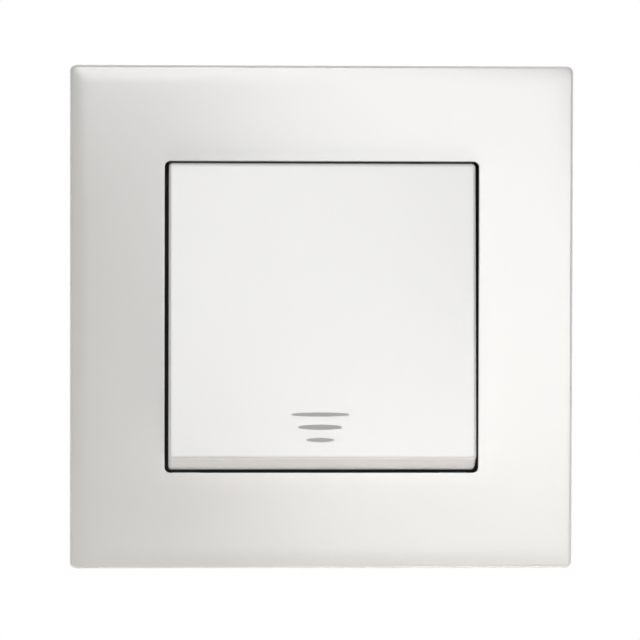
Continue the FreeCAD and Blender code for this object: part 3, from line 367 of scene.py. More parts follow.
def zinc_flake_group():
    """The flakes and dull patches of a zinc coat on steel."""
    tree, given, out, place = surface_group("zinc_flake", [
        ("Flake Scale", "NodeSocketFloat", 700.0), ("Patch Scale", "NodeSocketFloat", 90.0),
        ("Smooth", "NodeSocketFloat", 0.25), ("Dull", "NodeSocketFloat", 0.45),
    ])
    flakes = tree.nodes.new("ShaderNodeTexVoronoi")
    tree.links.new(place, flakes.inputs["Vector"])
    tree.links.new(given["Flake Scale"], flakes.inputs["Scale"])
    grey = tree.nodes.new("ShaderNodeRGBToBW")
    tree.links.new(flakes.outputs["Color"], grey.inputs["Color"])
    patch = noise(tree, place, given["Patch Scale"], 4.0)
    both = tree.nodes.new("ShaderNodeMath")
    both.operation = "MULTIPLY_ADD"
    both.inputs[1].default_value = 0.5
    tree.links.new(grey.outputs["Val"], both.inputs[0])
    tree.links.new(spread(tree, patch, 0.3, 0.7, 0.0, 0.5), both.inputs[2])
    tone = both.outputs["Value"]
    tree.links.new(tone, out["Tone"])
    tree.links.new(spread(tree, tone, 0.1, 0.9, given["Smooth"], given["Dull"]), out["Roughness"])
    tree.links.new(patch, out["Height"])
    return tree


def drawn_metal_group():
    """The long faint lines of rolled or drawn strip, with tarnish in patches."""
    tree, given, out, place = surface_group("drawn_metal", [
        ("Line Scale", "NodeSocketFloat", 300.0), ("Stretch", "NodeSocketVector", (1.0, 1.0, 12.0)),
        ("Smooth", "NodeSocketFloat", 0.2), ("Dull", "NodeSocketFloat", 0.4),
    ])
    along = tree.nodes.new("ShaderNodeVectorMath")
    along.operation = "MULTIPLY"
    tree.links.new(place, along.inputs[0])
    tree.links.new(given["Stretch"], along.inputs[1])
    lines = noise(tree, along.outputs["Vector"], given["Line Scale"], 3.0)
    tarnish = noise(tree, place, 160.0, 2.0)
    tree.links.new(spread(tree, tarnish, 0.35, 0.7, 0.0, 1.0), out["Tone"])
    tree.links.new(spread(tree, lines, 0.3, 0.7, given["Smooth"], given["Dull"]), out["Roughness"])
    tree.links.new(lines, out["Height"])
    return tree


MOULDED_SKIN = moulded_skin_group()
ZINC_FLAKE = zinc_flake_group()
DRAWN_METAL = drawn_metal_group()


def finish(name, effect, colour, toned, relief, metallic, ior, settings):
    """A material whose colour, gloss and relief come from one effect group with its own values."""
    material = bpy.data.materials.new(name)
    material.use_nodes = True
    tree = material.node_tree
    shader = tree.nodes["Principled BSDF"]
    shader.inputs["Metallic"].default_value = metallic
    shader.inputs["IOR"].default_value = ior
    surface = tree.nodes.new("ShaderNodeGroup")
    surface.node_tree = effect
    for label, value in settings.items():
        surface.inputs[label].default_value = value
    mix = tree.nodes.new("ShaderNodeMix")
    mix.data_type = "RGBA"
    mix.inputs["A"].default_value = (*colour, 1)
    mix.inputs["B"].default_value = (*toned, 1)
    tree.links.new(surface.outputs["Tone"], mix.inputs["Factor"])
    tree.links.new(mix.outputs["Result"], shader.inputs["Base Color"])
    tree.links.new(surface.outputs["Roughness"], shader.inputs["Roughness"])
    bump = tree.nodes.new("ShaderNodeBump")
    bump.inputs["Strength"].default_value = 1.0
    bump.inputs["Distance"].default_value = relief * MM
    tree.links.new(surface.outputs["Height"], bump.inputs["Height"])
    tree.links.new(bump.outputs["Normal"], shader.inputs["Normal"])
    return material


PLASTIC, METAL = 0.0, 1.0
GLOSSY_IOR, PLAIN_IOR = 1.7, 1.5

# Each finish has its effect, two colours that it varies between, its relief in millimetres, whether it is
# a metal, its index of refraction and the effect's settings.
FINISHES = {name: finish(name, *row) for name, row in {
    "white_plastic": (
        MOULDED_SKIN, (0.763, 0.760, 0.738), (0.753, 0.750, 0.728), 0.0004, PLASTIC, GLOSSY_IOR,
        {"Smooth": 0.165, "Dull": 0.185, "Wave Scale": 40.0}),
    "rocker_plastic": (
        MOULDED_SKIN, (0.738, 0.740, 0.738), (0.729, 0.731, 0.729), 0.0004, PLASTIC, GLOSSY_IOR,
        {"Smooth": 0.19, "Dull": 0.215, "Wave Scale": 40.0}),
    "mark_grey": (
        MOULDED_SKIN, (0.50, 0.487, 0.49), (0.52, 0.507, 0.51), 0.0006, PLASTIC, PLAIN_IOR,
        {"Smooth": 0.42, "Dull": 0.5}),
    "dark_plastic": (
        MOULDED_SKIN, (0.014, 0.019, 0.024), (0.018, 0.023, 0.028), 0.003, PLASTIC, PLAIN_IOR,
        {"Smooth": 0.45, "Dull": 0.6, "Grain Scale": 1800.0}),
    "grey_plastic": (
        MOULDED_SKIN, (0.30, 0.31, 0.32), (0.26, 0.27, 0.28), 0.003, PLASTIC, PLAIN_IOR,
        {"Smooth": 0.38, "Dull": 0.52, "Grain Scale": 1800.0}),
    "base_plastic": (
        MOULDED_SKIN, (0.56, 0.57, 0.57), (0.50, 0.51, 0.51), 0.004, PLASTIC, PLAIN_IOR,
        {"Smooth": 0.36, "Dull": 0.5, "Grain Scale": 1600.0}),
    "natural_plastic": (
        MOULDED_SKIN, (0.62, 0.58, 0.48), (0.56, 0.52, 0.42), 0.003, PLASTIC, PLAIN_IOR,
        {"Smooth": 0.3, "Dull": 0.42}),
    "zinc_steel": (
        ZINC_FLAKE, (0.62, 0.63, 0.64), (0.50, 0.52, 0.54), 0.002, METAL, PLAIN_IOR,
        {"Smooth": 0.28, "Dull": 0.46}),
    "zinc_screws": (
        ZINC_FLAKE, (0.66, 0.66, 0.62), (0.54, 0.55, 0.53), 0.001, METAL, PLAIN_IOR,
        {"Smooth": 0.2, "Dull": 0.34, "Flake Scale": 1500.0}),
    "spring_steel": (
        DRAWN_METAL, (0.48, 0.48, 0.47), (0.40, 0.39, 0.37), 0.001, METAL, PLAIN_IOR,
        {"Smooth": 0.2, "Dull": 0.3}),
    "copper_alloy": (
        DRAWN_METAL, (0.72, 0.40, 0.26), (0.58, 0.32, 0.20), 0.001, METAL, PLAIN_IOR,
        {"Smooth": 0.22, "Dull": 0.36, "Stretch": (1.0, 1.0, 0.08)}),
    "silver_contact": (
        DRAWN_METAL, (0.80, 0.79, 0.76), (0.68, 0.66, 0.62), 0.0006, METAL, PLAIN_IOR,
        {"Smooth": 0.18, "Dull": 0.3}),
    "brass_strip": (
        DRAWN_METAL, (0.76, 0.60, 0.30), (0.64, 0.48, 0.22), 0.001, METAL, PLAIN_IOR,
        {"Smooth": 0.22, "Dull": 0.36, "Stretch": (1.0, 1.0, 0.08)}),
}.items()}


def dress(obj, slot_name):
    """Gives all of a piece the finish that belongs to a slot."""
    if not obj.data.materials:
        obj.data.materials.append(None)
    for number in range(len(obj.material_slots)):
        obj.material_slots[number].material = FINISHES[slot_name]


# Cover plate


def roll_depth(inset):
    """How far the front has dropped at a place so far in from the plate's outer edge."""
    radius = (ROLL_WIDTH ** 2 + ROLL_DROP ** 2) / (2 * ROLL_DROP)
    out = max(ROLL_WIDTH - inset, 0.0)
    return radius - math.sqrt(radius ** 2 - out ** 2)


def cover_rings():
    """The plate's section as rings, from its back edge over the front and window to the hollow behind."""
    rings = []

    def add(inset, y, corner):
        rings.append(ring(PLATE_HALF - inset, PLATE_HALF - inset, corner, y))

    def add_window(out, y):
        rings.append(ring(WINDOW_HALF_X + out, WINDOW_HALF_Z + out, WINDOW_CORNER + out, y))

    side_y = FRONT_Y + roll_depth(EDGE_ROUND) + EDGE_ROUND
    add(0, 0, PLATE_CORNER)
    add(0, side_y + SIDE_RING, PLATE_CORNER)
    for step in range(EDGE_STEPS + 1):
        turn = math.radians(90 * step / EDGE_STEPS)
        inset = EDGE_ROUND * (1 - math.cos(turn))
        add(inset, side_y - EDGE_ROUND * math.sin(turn), PLATE_CORNER - inset * EDGE_CORNER_SHARE)
    for step in range(1, ROLL_STEPS + 1):
        inset = EDGE_ROUND + (ROLL_WIDTH - EDGE_ROUND) * step / ROLL_STEPS
        add(inset, FRONT_Y + roll_depth(inset), PLATE_CORNER - inset * ROLL_CORNER_SHARE)
    add(ROLL_WIDTH + FLAT_RING, FRONT_Y, PLATE_CORNER - ROLL_WIDTH * ROLL_CORNER_SHARE)
    add_window(WINDOW_EDGE + FLAT_RING, FRONT_Y)
    for step in range(WINDOW_STEPS + 1):
        turn = math.radians(90 * step / WINDOW_STEPS)
        add_window(WINDOW_EDGE * (1 - math.sin(turn)), FRONT_Y + WINDOW_EDGE * (1 - math.cos(turn)))
    add_window(LIP_DRAFT, FRONT_Y + LIP_STRAIGHT)
    rings.append(ring(LIP_BACK_HALF, LIP_BACK_HALF, WINDOW_CORNER, LIP_BACK_Y))
    add(PLATE_HALF - RIM_IN, LIP_BACK_Y, RIM_IN_CORNER)
    add(PLATE_HALF - RIM_IN, RIM_BACK_Y, RIM_IN_CORNER)
    add(PLATE_HALF - RIM_IN - RIB_THICK, RIM_BACK_Y, RIM_CORNER)
    add(PLATE_HALF - RIM_IN - RIB_THICK, PLATE_BACK_Y, RIM_CORNER)
    add(PLATE_WALL, PLATE_BACK_Y, PLATE_CORNER)
    add(PLATE_WALL, 0, PLATE_CORNER)
    return rings


def cover_ribs():
    """The eight ribs between the rim and the plate's walls."""
    low, high = RIB_OFFSET - RIB_THICK / 2, RIB_OFFSET + RIB_THICK / 2
    start, end = RIM_IN + RIB_ROOT, PLATE_HALF - RIB_IN_WALL
    ribs = []
    for sign in (1, -1):
        for place in (low, -high):
            ends = sorted((sign * start, sign * end))
            ribs.append(((ends[0], place), (ends[1], place + RIB_THICK)))
            ribs.append(((place, ends[0]), (place + RIB_THICK, ends[1])))
    front, back = PLATE_BACK_Y - RIB_ROOT, PLATE_BACK_Y + RIB_DEPTH
    return [box_mesh((a[0], front, a[1]), (b[0], back, b[1])) for a, b in ribs]


def snap_tongue():
    """One tongue behind the window's lip with its barb, in the quarter +X +Z."""
    inner, outer = TONGUE_IN, TONGUE_IN + TONGUE_THICK
    root_y = LIP_BACK_Y - TONGUE_ROOT
    barb_y = TONGUE_BACK_Y - BARB_LENGTH
    outline = [
        (root_y, inner), (TONGUE_BACK_Y, inner), (TONGUE_BACK_Y, outer - BARB_FLAT),
        (barb_y, outer + BARB), (barb_y - BARB_FLAT, outer), (root_y, outer),
    ]
    low, high = TONGUE_X - TONGUE_WIDTH / 2, TONGUE_X + TONGUE_WIDTH / 2
    return prism(outline, low, high, lambda y, z, x: (x, y, z))


def pry_notch():
    """A shallow notch in the back of the lower wall, where a blade lifts the plate off."""
    half = PRY_WIDTH / 2
    return box_mesh((-half, -PRY_DEPTH, -PLATE_HALF - PAST), (half, PAST, -PLATE_HALF + PLATE_WALL + PAST))


def cover_shell():
    """The hollow cover plate with its ribs, tongues and notch."""
    body = as_object(sweep(cover_rings(), True), "cover_shell")
    body = combined(body, cover_ribs() + in_four_corners(snap_tongue()), "cover_shell")
    body = combined(body, [pry_notch()], "cover_shell", "DIFFERENCE")
    return shade(body, SHELL_SMOOTH)


# Rocker


def end_reach(forward):
    """The reach of the rocker's upper and lower end, so far in front of the pivot."""
    for (front, *start), (back, *end) in zip(END_PROFILE, END_PROFILE[1:]):
        if forward >= back:
            break
    share = (front - forward) / (front - back)
    return [a + (b - a) * share for a, b in zip(start, end)]


def cap_ring(forward, inset, corner):
    """A ring of the rocker's tapering form, so far in front of the pivot."""
    half_x = FACE_HALF_X + (RISE - forward) * SIDE_DRAFT - inset
    up, down = end_reach(forward)
    points = ring(half_x, (up + down) / 2 - inset, corner, PIVOT_Y - forward)
    return [(x, y, z + (up - down) / 2) for x, y, z in points]


def cap_rings():
    """From the middle of the roof inside, down the wall, round the skirt and over the edge to the face."""
    roof = RISE - ROCKER_WALL
    skirt = RISE - SKIRT_DEPTH
    rings = [
        cap_ring(roof, ROCKER_WALL, ROCKER_IN_CORNER),
        cap_ring(skirt, ROCKER_WALL, ROCKER_IN_CORNER),
        cap_ring(skirt, 0, ROCKER_CORNER),
    ]
    for forward, *_ in END_PROFILE[-2:0:-1]:
        rings.append(cap_ring(forward, 0, ROCKER_CORNER))
    rings.append(cap_ring(RISE - ROCKER_EDGE - SIDE_RING, 0, ROCKER_CORNER))
    for step in range(ROCKER_STEPS + 1):
        turn = math.radians(90 * step / ROCKER_STEPS)
        inset = ROCKER_EDGE * (1 - math.cos(turn))
        forward = RISE - ROCKER_EDGE * (1 - math.sin(turn))
        rings.append(cap_ring(forward, inset, ROCKER_CORNER - inset * ROCKER_CORNER_SHARE))
    rings.append(cap_ring(RISE, ROCKER_EDGE + FLAT_RING, FACE_CORNER))
    return rings


def cap_ribs():
    """The two pairs of stiffening ribs under the rocker's face."""
    roof = RISE - ROCKER_WALL
    end_x = FACE_HALF_X - ROCKER_WALL / 2
    end_z = FACE_HALF_Z - ROCKER_WALL / 2
    front, back = PIVOT_Y - roof - CAP_ROOT, PIVOT_Y - roof + CAP_RIB
    half = CAP_RIB / 2
    ribs = []
    for side in (1, -1):
        at_x, at_z = side * RIB_LINE_X, side * RIB_LINE_Z
        ribs.append(box_mesh((-end_x, front, at_z - half), (end_x, back, at_z + half)))
        ribs.append(box_mesh((at_x - half, front, -end_z), (at_x + half, back, end_z)))
    return ribs


def cap_clip():
    """A hook under the face that holds the cradle, in the quarter +X +Z."""
    roof_y = PIVOT_Y - RISE + ROCKER_WALL
    root_y, hold_y = roof_y - CAP_ROOT, roof_y + CLIP_HOLD
    nose_y, outer = hold_y + CLIP_NOSE, CLIP_IN + CLIP_THICK
    outline = [
        (root_y, CLIP_IN), (hold_y, CLIP_IN), (hold_y, CLIP_IN - BARB), (nose_y, CLIP_IN),
        (nose_y, outer), (root_y, outer),
    ]
    low, high = CLIP_X - CLIP_WIDTH / 2, CLIP_X + CLIP_WIDTH / 2
    return prism(outline, low, high, lambda y, z, x: (x, y, z))


def rocker_shell():
    """The hollow rocker with its ribs and clips, on its resting side."""
    body = as_object(sweep(cap_rings(), False), "rocker_shell")
    body = combined(body, cap_ribs() + in_four_corners(cap_clip()), "rocker_shell")
    return shade(tilt_to_rest(body), SHELL_SMOOTH)


# Geometry Nodes: small things that repeat


def geometry_tree(name, inputs):
    """A Geometry Nodes tree with a geometry input, named inputs and a geometry output."""
    tree = bpy.data.node_groups.new(name, "GeometryNodeTree")
    tree.interface.new_socket("Geometry", in_out="INPUT", socket_type="NodeSocketGeometry")
    for label, kind in inputs:
        tree.interface.new_socket(label, in_out="INPUT", socket_type=kind)
    tree.interface.new_socket("Geometry", in_out="OUTPUT", socket_type="NodeSocketGeometry")
    return tree, tree.nodes.new("NodeGroupInput"), tree.nodes.new("NodeGroupOutput")


def grown(tree, points, values, name, sizes=()):
    """Runs a tree on points in millimetres and returns the result as a plain object.

    Sizes, if given, are one for each point, which the tree reads as the attribute size."""
    mesh = bpy.data.meshes.new(name)
    mesh.from_pydata([Vector(p) * MM for p in points], [], [])
    if sizes:
        attribute = mesh.attributes.new("size", "FLOAT_VECTOR", "POINT")
        for item, size in zip(attribute.data, sizes):
            item.vector = size
    seed = bpy.data.objects.new(name + "_seed", mesh)
    bpy.context.scene.collection.objects.link(seed)
    modifier = seed.modifiers.new(name, "NODES")
    modifier.node_group = tree
    for item in tree.interface.items_tree:
        if item.item_type == "SOCKET" and item.in_out == "INPUT" and item.name in values:
            modifier[item.identifier] = values[item.name]
    plain = settled(seed, name)
    if sizes:
        plain.data.attributes.remove(plain.data.attributes["size"])
    return plain


class Steps:
    """Short forms for the nodes of one tree."""

    def __init__(self, tree):
        self.tree = tree

    def node(self, kind, **inputs):
        node = self.tree.nodes.new(kind)
        for label, value in inputs.items():
            put(self.tree, node.inputs[label.replace("_", " ")], value)
        return node

    def math(self, operation, *values):
        node = self.tree.nodes.new("ShaderNodeMath")
        node.operation = operation
        for socket, value in zip(node.inputs, values):
            put(self.tree, socket, value)
        return node.outputs[0]

    def vector(self, x=0.0, y=0.0, z=0.0):
        return self.node("ShaderNodeCombineXYZ", X=x, Y=y, Z=z).outputs[0]

    def split(self, vector):
        node = self.node("ShaderNodeSeparateXYZ", Vector=vector)
        return node.outputs["X"], node.outputs["Y"], node.outputs["Z"]

    def moved(self, geometry, offset):
        return self.node("GeometryNodeTransform", Geometry=geometry, Translation=offset).outputs[0]

    def joined(self, *parts):
        node = self.tree.nodes.new("GeometryNodeJoinGeometry")
        for part in parts:
            self.tree.links.new(part, node.inputs[0])
        return node.outputs[0]


# The head's crown, its rim drawn in at the top, and the thread's ridge as a share of its depth
DOME = 0.32
DOME_POWER = 2.4
RIM_POWER = 5.0
RIM_DRAWN_IN = 0.05
RIDGE_SHARE = 0.98


def screw_tree():
    """A screw along +Z from the back of its head, set on each point and turned to its axis.

    The head is a dome with a cross or a slot cut in it, and the shank carries a helical thread. A slot
    has to end inside the head's rim, because a cut that runs past it leaves no head."""
    sizes = (
        "Head Radius", "Head Height", "Dome", "Shank Radius", "Length", "Thread Depth", "Turns",
        "Plain Length", "Slot Length", "Slot Width", "Cross Length", "Slot Depth",
    )
    inputs = [(label, "NodeSocketFloat") for label in sizes]
    inputs += [("Turned", "NodeSocketVector"), ("Finish", "NodeSocketMaterial")]
    tree, given, out = geometry_tree("screw", inputs)
    s = Steps(tree)
    g = given.outputs
    drum = s.node("GeometryNodeMeshCylinder", Vertices=48, Side_Segments=6, Fill_Segments=5,
                  Radius=g["Head Radius"], Depth=g["Head Height"])
    x, y, z = s.split(s.node("GeometryNodeInputPosition").outputs[0])
    across = s.math("SQRT", s.math("ADD", s.math("MULTIPLY", x, x), s.math("MULTIPLY", y, y)))
    share = s.math("DIVIDE", across, g["Head Radius"])
    height = s.math("ADD", s.math("DIVIDE", z, g["Head Height"]), 0.5)
    sag = s.math("MULTIPLY", g["Dome"], s.math("POWER", share, DOME_POWER))
    level = s.math("MULTIPLY", s.math("MULTIPLY", height, s.math("SUBTRACT", 1.0, sag)), g["Head Height"])
    narrow = s.math("SUBTRACT", 1.0, s.math("MULTIPLY", s.math("POWER", height, RIM_POWER), RIM_DRAWN_IN))
    dome = s.node("GeometryNodeSetPosition", Geometry=drum.outputs["Mesh"],
                  Position=s.vector(s.math("MULTIPLY", x, narrow), s.math("MULTIPLY", y, narrow), level))
    deep = s.math("MULTIPLY", g["Slot Depth"], 2.0)
    top = s.vector(z=g["Head Height"])
    one = s.node("GeometryNodeMeshCube", Size=s.vector(g["Slot Length"], g["Slot Width"], deep))
    other = s.node("GeometryNodeMeshCube", Size=s.vector(g["Slot Width"], g["Cross Length"], deep))
    cut = s.node("GeometryNodeMeshBoolean")
    cut.operation = "DIFFERENCE"
    tree.links.new(dome.outputs[0], cut.inputs["Mesh 1"])
    tree.links.new(s.moved(one.outputs["Mesh"], top), cut.inputs["Mesh 2"])
    again = s.node("GeometryNodeMeshBoolean")
    again.operation = "DIFFERENCE"
    tree.links.new(cut.outputs["Mesh"], again.inputs["Mesh 1"])
    tree.links.new(s.moved(other.outputs["Mesh"], top), again.inputs["Mesh 2"])
    core = s.math("SUBTRACT", g["Shank Radius"], g["Thread Depth"])
    shank = s.node("GeometryNodeMeshCylinder", Vertices=32, Radius=core, Depth=g["Length"])
    shank_place = s.vector(z=s.math("MULTIPLY", g["Length"], -0.5))
    helix = s.node("GeometryNodeCurveSpiral", Resolution=20, Rotations=g["Turns"], Start_Radius=core,
                   End_Radius=core, Height=s.math("SUBTRACT", g["Length"], g["Plain Length"]))
    ridge = s.node("GeometryNodeCurvePrimitiveCircle", Resolution=6,
                   Radius=s.math("MULTIPLY", g["Thread Depth"], RIDGE_SHARE))
    thread = s.node("GeometryNodeCurveToMesh", Curve=helix.outputs[0], Profile_Curve=ridge.outputs[0],
                    Fill_Caps=True)
    start = s.vector(z=s.math("MULTIPLY", g["Length"], -1.0))
    parts = s.joined(
        again.outputs["Mesh"],
        s.moved(shank.outputs["Mesh"], shank_place),
        s.moved(thread.outputs["Mesh"], start),
    )
    turn = s.node("FunctionNodeEulerToRotation", Euler=g["Turned"]).outputs[0]
    placed = s.node("GeometryNodeInstanceOnPoints", Points=g["Geometry"], Instance=parts, Rotation=turn)
    plain = s.node("GeometryNodeRealizeInstances", Geometry=placed.outputs[0])
    coated = s.node("GeometryNodeSetMaterial", Geometry=plain.outputs[0], Material=g["Finish"])
    tree.links.new(coated.outputs[0], out.inputs[0])
    return tree


def mark_tree():
    """A flat lens with two arched sides and rounded ends, at each point's own width and height."""
    inputs = [("Thickness", "NodeSocketFloat"), ("Finish", "NodeSocketMaterial")]
    tree, given, out = geometry_tree("lens_mark", inputs)
    s = Steps(tree)
    g = given.outputs
    disc = s.node("GeometryNodeMeshCircle", Vertices=48, Radius=1.0)
    disc.fill_type = "NGON"
    x, y, _ = s.split(s.node("GeometryNodeInputPosition").outputs[0])
    square = s.math("MULTIPLY", x, x)
    arch = s.math("MULTIPLY", 1.0 - MARK_END, s.math("SUBTRACT", 1.0, square))
    rounding = s.math("SQRT", s.math("SUBTRACT", 1.0, s.math("POWER", square, MARK_END_POWER)))
    height = s.math("ADD", arch, s.math("MULTIPLY", MARK_END, rounding))
    lens = s.node("GeometryNodeSetPosition", Geometry=disc.outputs["Mesh"],
                  Position=s.vector(x, s.math("MULTIPLY", height, s.math("SIGN", y)), 0.0))
    size = s.node("GeometryNodeInputNamedAttribute", Name="size")
    size.data_type = "FLOAT_VECTOR"
    turn = s.node("FunctionNodeEulerToRotation", Euler=(math.radians(90), 0.0, 0.0)).outputs[0]
    placed = s.node("GeometryNodeInstanceOnPoints", Points=g["Geometry"], Instance=lens.outputs[0],
                    Scale=size.outputs["Attribute"], Rotation=turn)
    plain = s.node("GeometryNodeRealizeInstances", Geometry=placed.outputs[0])
    thick = s.node("GeometryNodeExtrudeMesh", Mesh=plain.outputs[0], Offset=(0.0, -1.0, 0.0),
                   Offset_Scale=g["Thickness"])
    thick.inputs["Individual"].default_value = False
    back = s.node("GeometryNodeFlipFaces", Mesh=plain.outputs[0])
    closed = s.node("GeometryNodeMergeByDistance", Geometry=s.joined(back.outputs[0], thick.outputs["Mesh"]),
                    Distance=MERGE_DISTANCE)
    coated = s.node("GeometryNodeSetMaterial", Geometry=closed.outputs[0], Material=g["Finish"])
    tree.links.new(coated.outputs[0], out.inputs[0])
    return tree


def rocker_mark_inlays():
    """The three grey marks, just proud of the rocker's face."""
    back_y = PIVOT_Y - RISE + MARK_DEPTH
    points = [(MARK_X, back_y, MARK_TOP_Z - row * MARK_PITCH) for row in range(len(MARK_WIDTHS))]
    sizes = [(width / 2 * MM, height / 2 * MM, 1.0) for width, height in zip(MARK_WIDTHS, MARK_HEIGHTS)]
    values = {"Thickness": (MARK_DEPTH + MARK_PROUD) * MM, "Finish": FINISHES["mark_grey"]}
    marks = grown(mark_tree(), points, values, "rocker_mark_inlays", sizes)
    return shade(tilt_to_rest(marks), MARK_SMOOTH)


SCREW = screw_tree()
TOWARDS_ROOM = (math.radians(90), 0.0, 0.0)
TOWARDS_RIGHT = (0.0, math.radians(90), 0.0)
TOWARDS_LEFT = (0.0, math.radians(-90), 0.0)


def screws(name, points, turned, length, plain, head, slot, cross):
    """Threaded screws whose heads' backs sit on the points, in millimetres.

    A head has its radius and height, and a slot its length, width and depth."""
    values = {
        "Head Radius": head[0], "Head Height": head[1], "Shank Radius": SHANK_RADIUS, "Length": length,
        "Thread Depth": THREAD_DEPTH, "Plain Length": plain, "Slot Length": slot[0],
        "Slot Width": slot[1], "Slot Depth": slot[2], "Cross Length": cross,
    }
    values = {label: value * MM for label, value in values.items()}
    values.update({
        "Dome": DOME, "Turns": (length - plain) / THREAD_PITCH, "Turned": turned,
        "Finish": FINISHES["zinc_screws"],
    })
    return shade(grown(SCREW, points, values, name), SCREW_SMOOTH)


def plate_screws(node, name):
    """Cross-headed screws along Y with their heads to the room, one for each solid of a node."""
    low, high = node_box(node)
    front, back = low[1], high[1]
    head_back = front + HEAD_HEIGHT
    x = (low[0] + high[0]) / 2
    reach = high[2] - HEAD_RADIUS
    two = high[2] - low[2] > 3 * HEAD_RADIUS
    heights = (reach, -reach) if two else ((low[2] + high[2]) / 2,)
    points = [(x, head_back, z) for z in heights]
    slot = (CROSS_LENGTH, CROSS_WIDTH, CROSS_DEPTH)
    return screws(name, points, TOWARDS_ROOM, back - head_back, PLAIN_LENGTH,
                  (HEAD_RADIUS, HEAD_HEIGHT), slot, CROSS_LENGTH)


def terminal_screw(node, name, side):
    """A clamping screw along X with its slotted head to the outside.

    Known fault: its slot runs past the rim, so the head is lost and only shank and thread come out."""
    low, high = node_box(node)
    radius = (high[2] - low[2]) / 2
    middle = ((low[1] + high[1]) / 2, (low[2] + high[2]) / 2)
    outer = high[0] if side > 0 else low[0]
    start = (outer - side * TERMINAL_HEAD_HEIGHT, *middle)
    turned = TOWARDS_RIGHT if side > 0 else TOWARDS_LEFT
    length = high[0] - low[0] - TERMINAL_HEAD_HEIGHT
    slot = (2 * radius + PAST, TERMINAL_SLOT_WIDTH, TERMINAL_SLOT_DEPTH)
    return screws(name, [start], turned, length, TERMINAL_PLAIN_LENGTH,
                  (radius, TERMINAL_HEAD_HEIGHT), slot, TERMINAL_SLOT_WIDTH)


# Pieces on their bodies


def add_piece(piece, body, replaced, slot_name):
    """Sets a piece on its body in place of CAD nodes, with the finish that belongs to its material slot."""
    dress(piece, slot_name)
    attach(piece, body)
    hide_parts(*replaced)


add_piece(cover_shell(), "housing", ["cover_plate"], "white_plastic")
add_piece(rocker_shell(), "rocker", ["rocker_cap"], "rocker_plastic")
add_piece(rocker_mark_inlays(), "rocker", ["rocker_marks"], "mark_grey")
add_piece(plate_screws("lid_screws", "lid_fixing_screws"), "housing", ["lid_screws"], "zinc_screws")
for side_name, side in (("right", 1), ("left", -1)):
    screw_node = "claw_screw_" + side_name
    piece = plate_screws(screw_node, "spreading_screw_" + side_name)
    add_piece(piece, screw_node, [screw_node], "zinc_screws")
    for level in ("upper", "lower"):
        screw_node = f"terminal_screw_{level}_{side_name}"
        piece = terminal_screw(screw_node, f"clamping_screw_{level}_{side_name}", side)
        add_piece(piece, screw_node, [screw_node], "zinc_screws")

for subpart in frame["record"]["subparts"]:
    node = nodes[subpart["node"]]
    if not node.hide_render:
        dress(node, subpart["material_slot"])


# Floor, lights and camera


# The floor, in metres, and how much it and the surround shine
FLOOR_RADIUS = 0.3
FLOOR_DROP = 0.12
FLOOR_COLOUR = (0.95, 0.90, 0.86)
FLOOR_ROUGHNESS = 0.9
FLOOR_GLOW = 0.5
SURROUND_LIGHT = 0.02

# The spot on the floor: its power in watts, its cone in degrees, its own radius in metres, and where it
# hangs and points in millimetres
FLOOR_LIGHT = 145.0
FLOOR_LIGHT_CONE = 7.0
FLOOR_LIGHT_BLEND = 0.4
FLOOR_LIGHT_SOFT = 0.005
FLOOR_LIGHT_PLACE = (35, -70, 900)
FLOOR_LIGHT_TARGET = (35, -80, -41)

# How far away the lamps beside and behind the switch are, in millimetres
FAR = 1300.0

# The camera: its distance in millimetres, its angles in degrees and what it looks at
CAMERA_DISTANCE = 575.0
CAMERA_LEFT = 2.0
CAMERA_UP = 1.5
CAMERA_ROLL = 0.12
LENS = 198.5
AIM = (-0.3, FRONT_Y, -0.44)


def seen_ray(tree):
    """One where a ray comes from the camera, from gloss or through glass, else nought."""
    path = tree.nodes.new("ShaderNodeLightPath")
    seen = path.outputs["Is Camera Ray"]
    for ray in ("Is Glossy Ray", "Is Transmission Ray"):
        either = tree.nodes.new("ShaderNodeMath")
        either.operation = "MAXIMUM"
        tree.links.new(seen, either.inputs[0])
        tree.links.new(path.outputs[ray], either.inputs[1])
        seen = either.outputs[0]
    return seen


def floor():
    """A round pale floor below the switch that keeps its shadow."""
    bm = bmesh.new()
    bmesh.ops.create_circle(bm, cap_ends=True, segments=96, radius=FLOOR_RADIUS)
    mesh = bpy.data.meshes.new("floor")
    bm.to_mesh(mesh)
    bm.free()
    mesh.transform(Matrix.Translation((0, 0, cad_box[0][2] - FLOOR_DROP)))
    obj = bpy.data.objects.new("floor", mesh)
    bpy.context.scene.collection.objects.link(obj)
    material = bpy.data.materials.new("floor_pale")
    material.use_nodes = True
    tree = material.node_tree
    shader = tree.nodes["Principled BSDF"]
    shader.inputs["Base Color"].default_value = (*FLOOR_COLOUR, 1)
    shader.inputs["Roughness"].default_value = FLOOR_ROUGHNESS
    shader.inputs["Emission Color"].default_value = (1, 1, 1, 1)
    glow = tree.nodes.new("ShaderNodeMath")
    glow.operation = "MULTIPLY"
    glow.inputs[1].default_value = FLOOR_GLOW
    tree.links.new(seen_ray(tree), glow.inputs[0])
    tree.links.new(glow.outputs[0], shader.inputs["Emission Strength"])
    obj.data.materials.append(material)


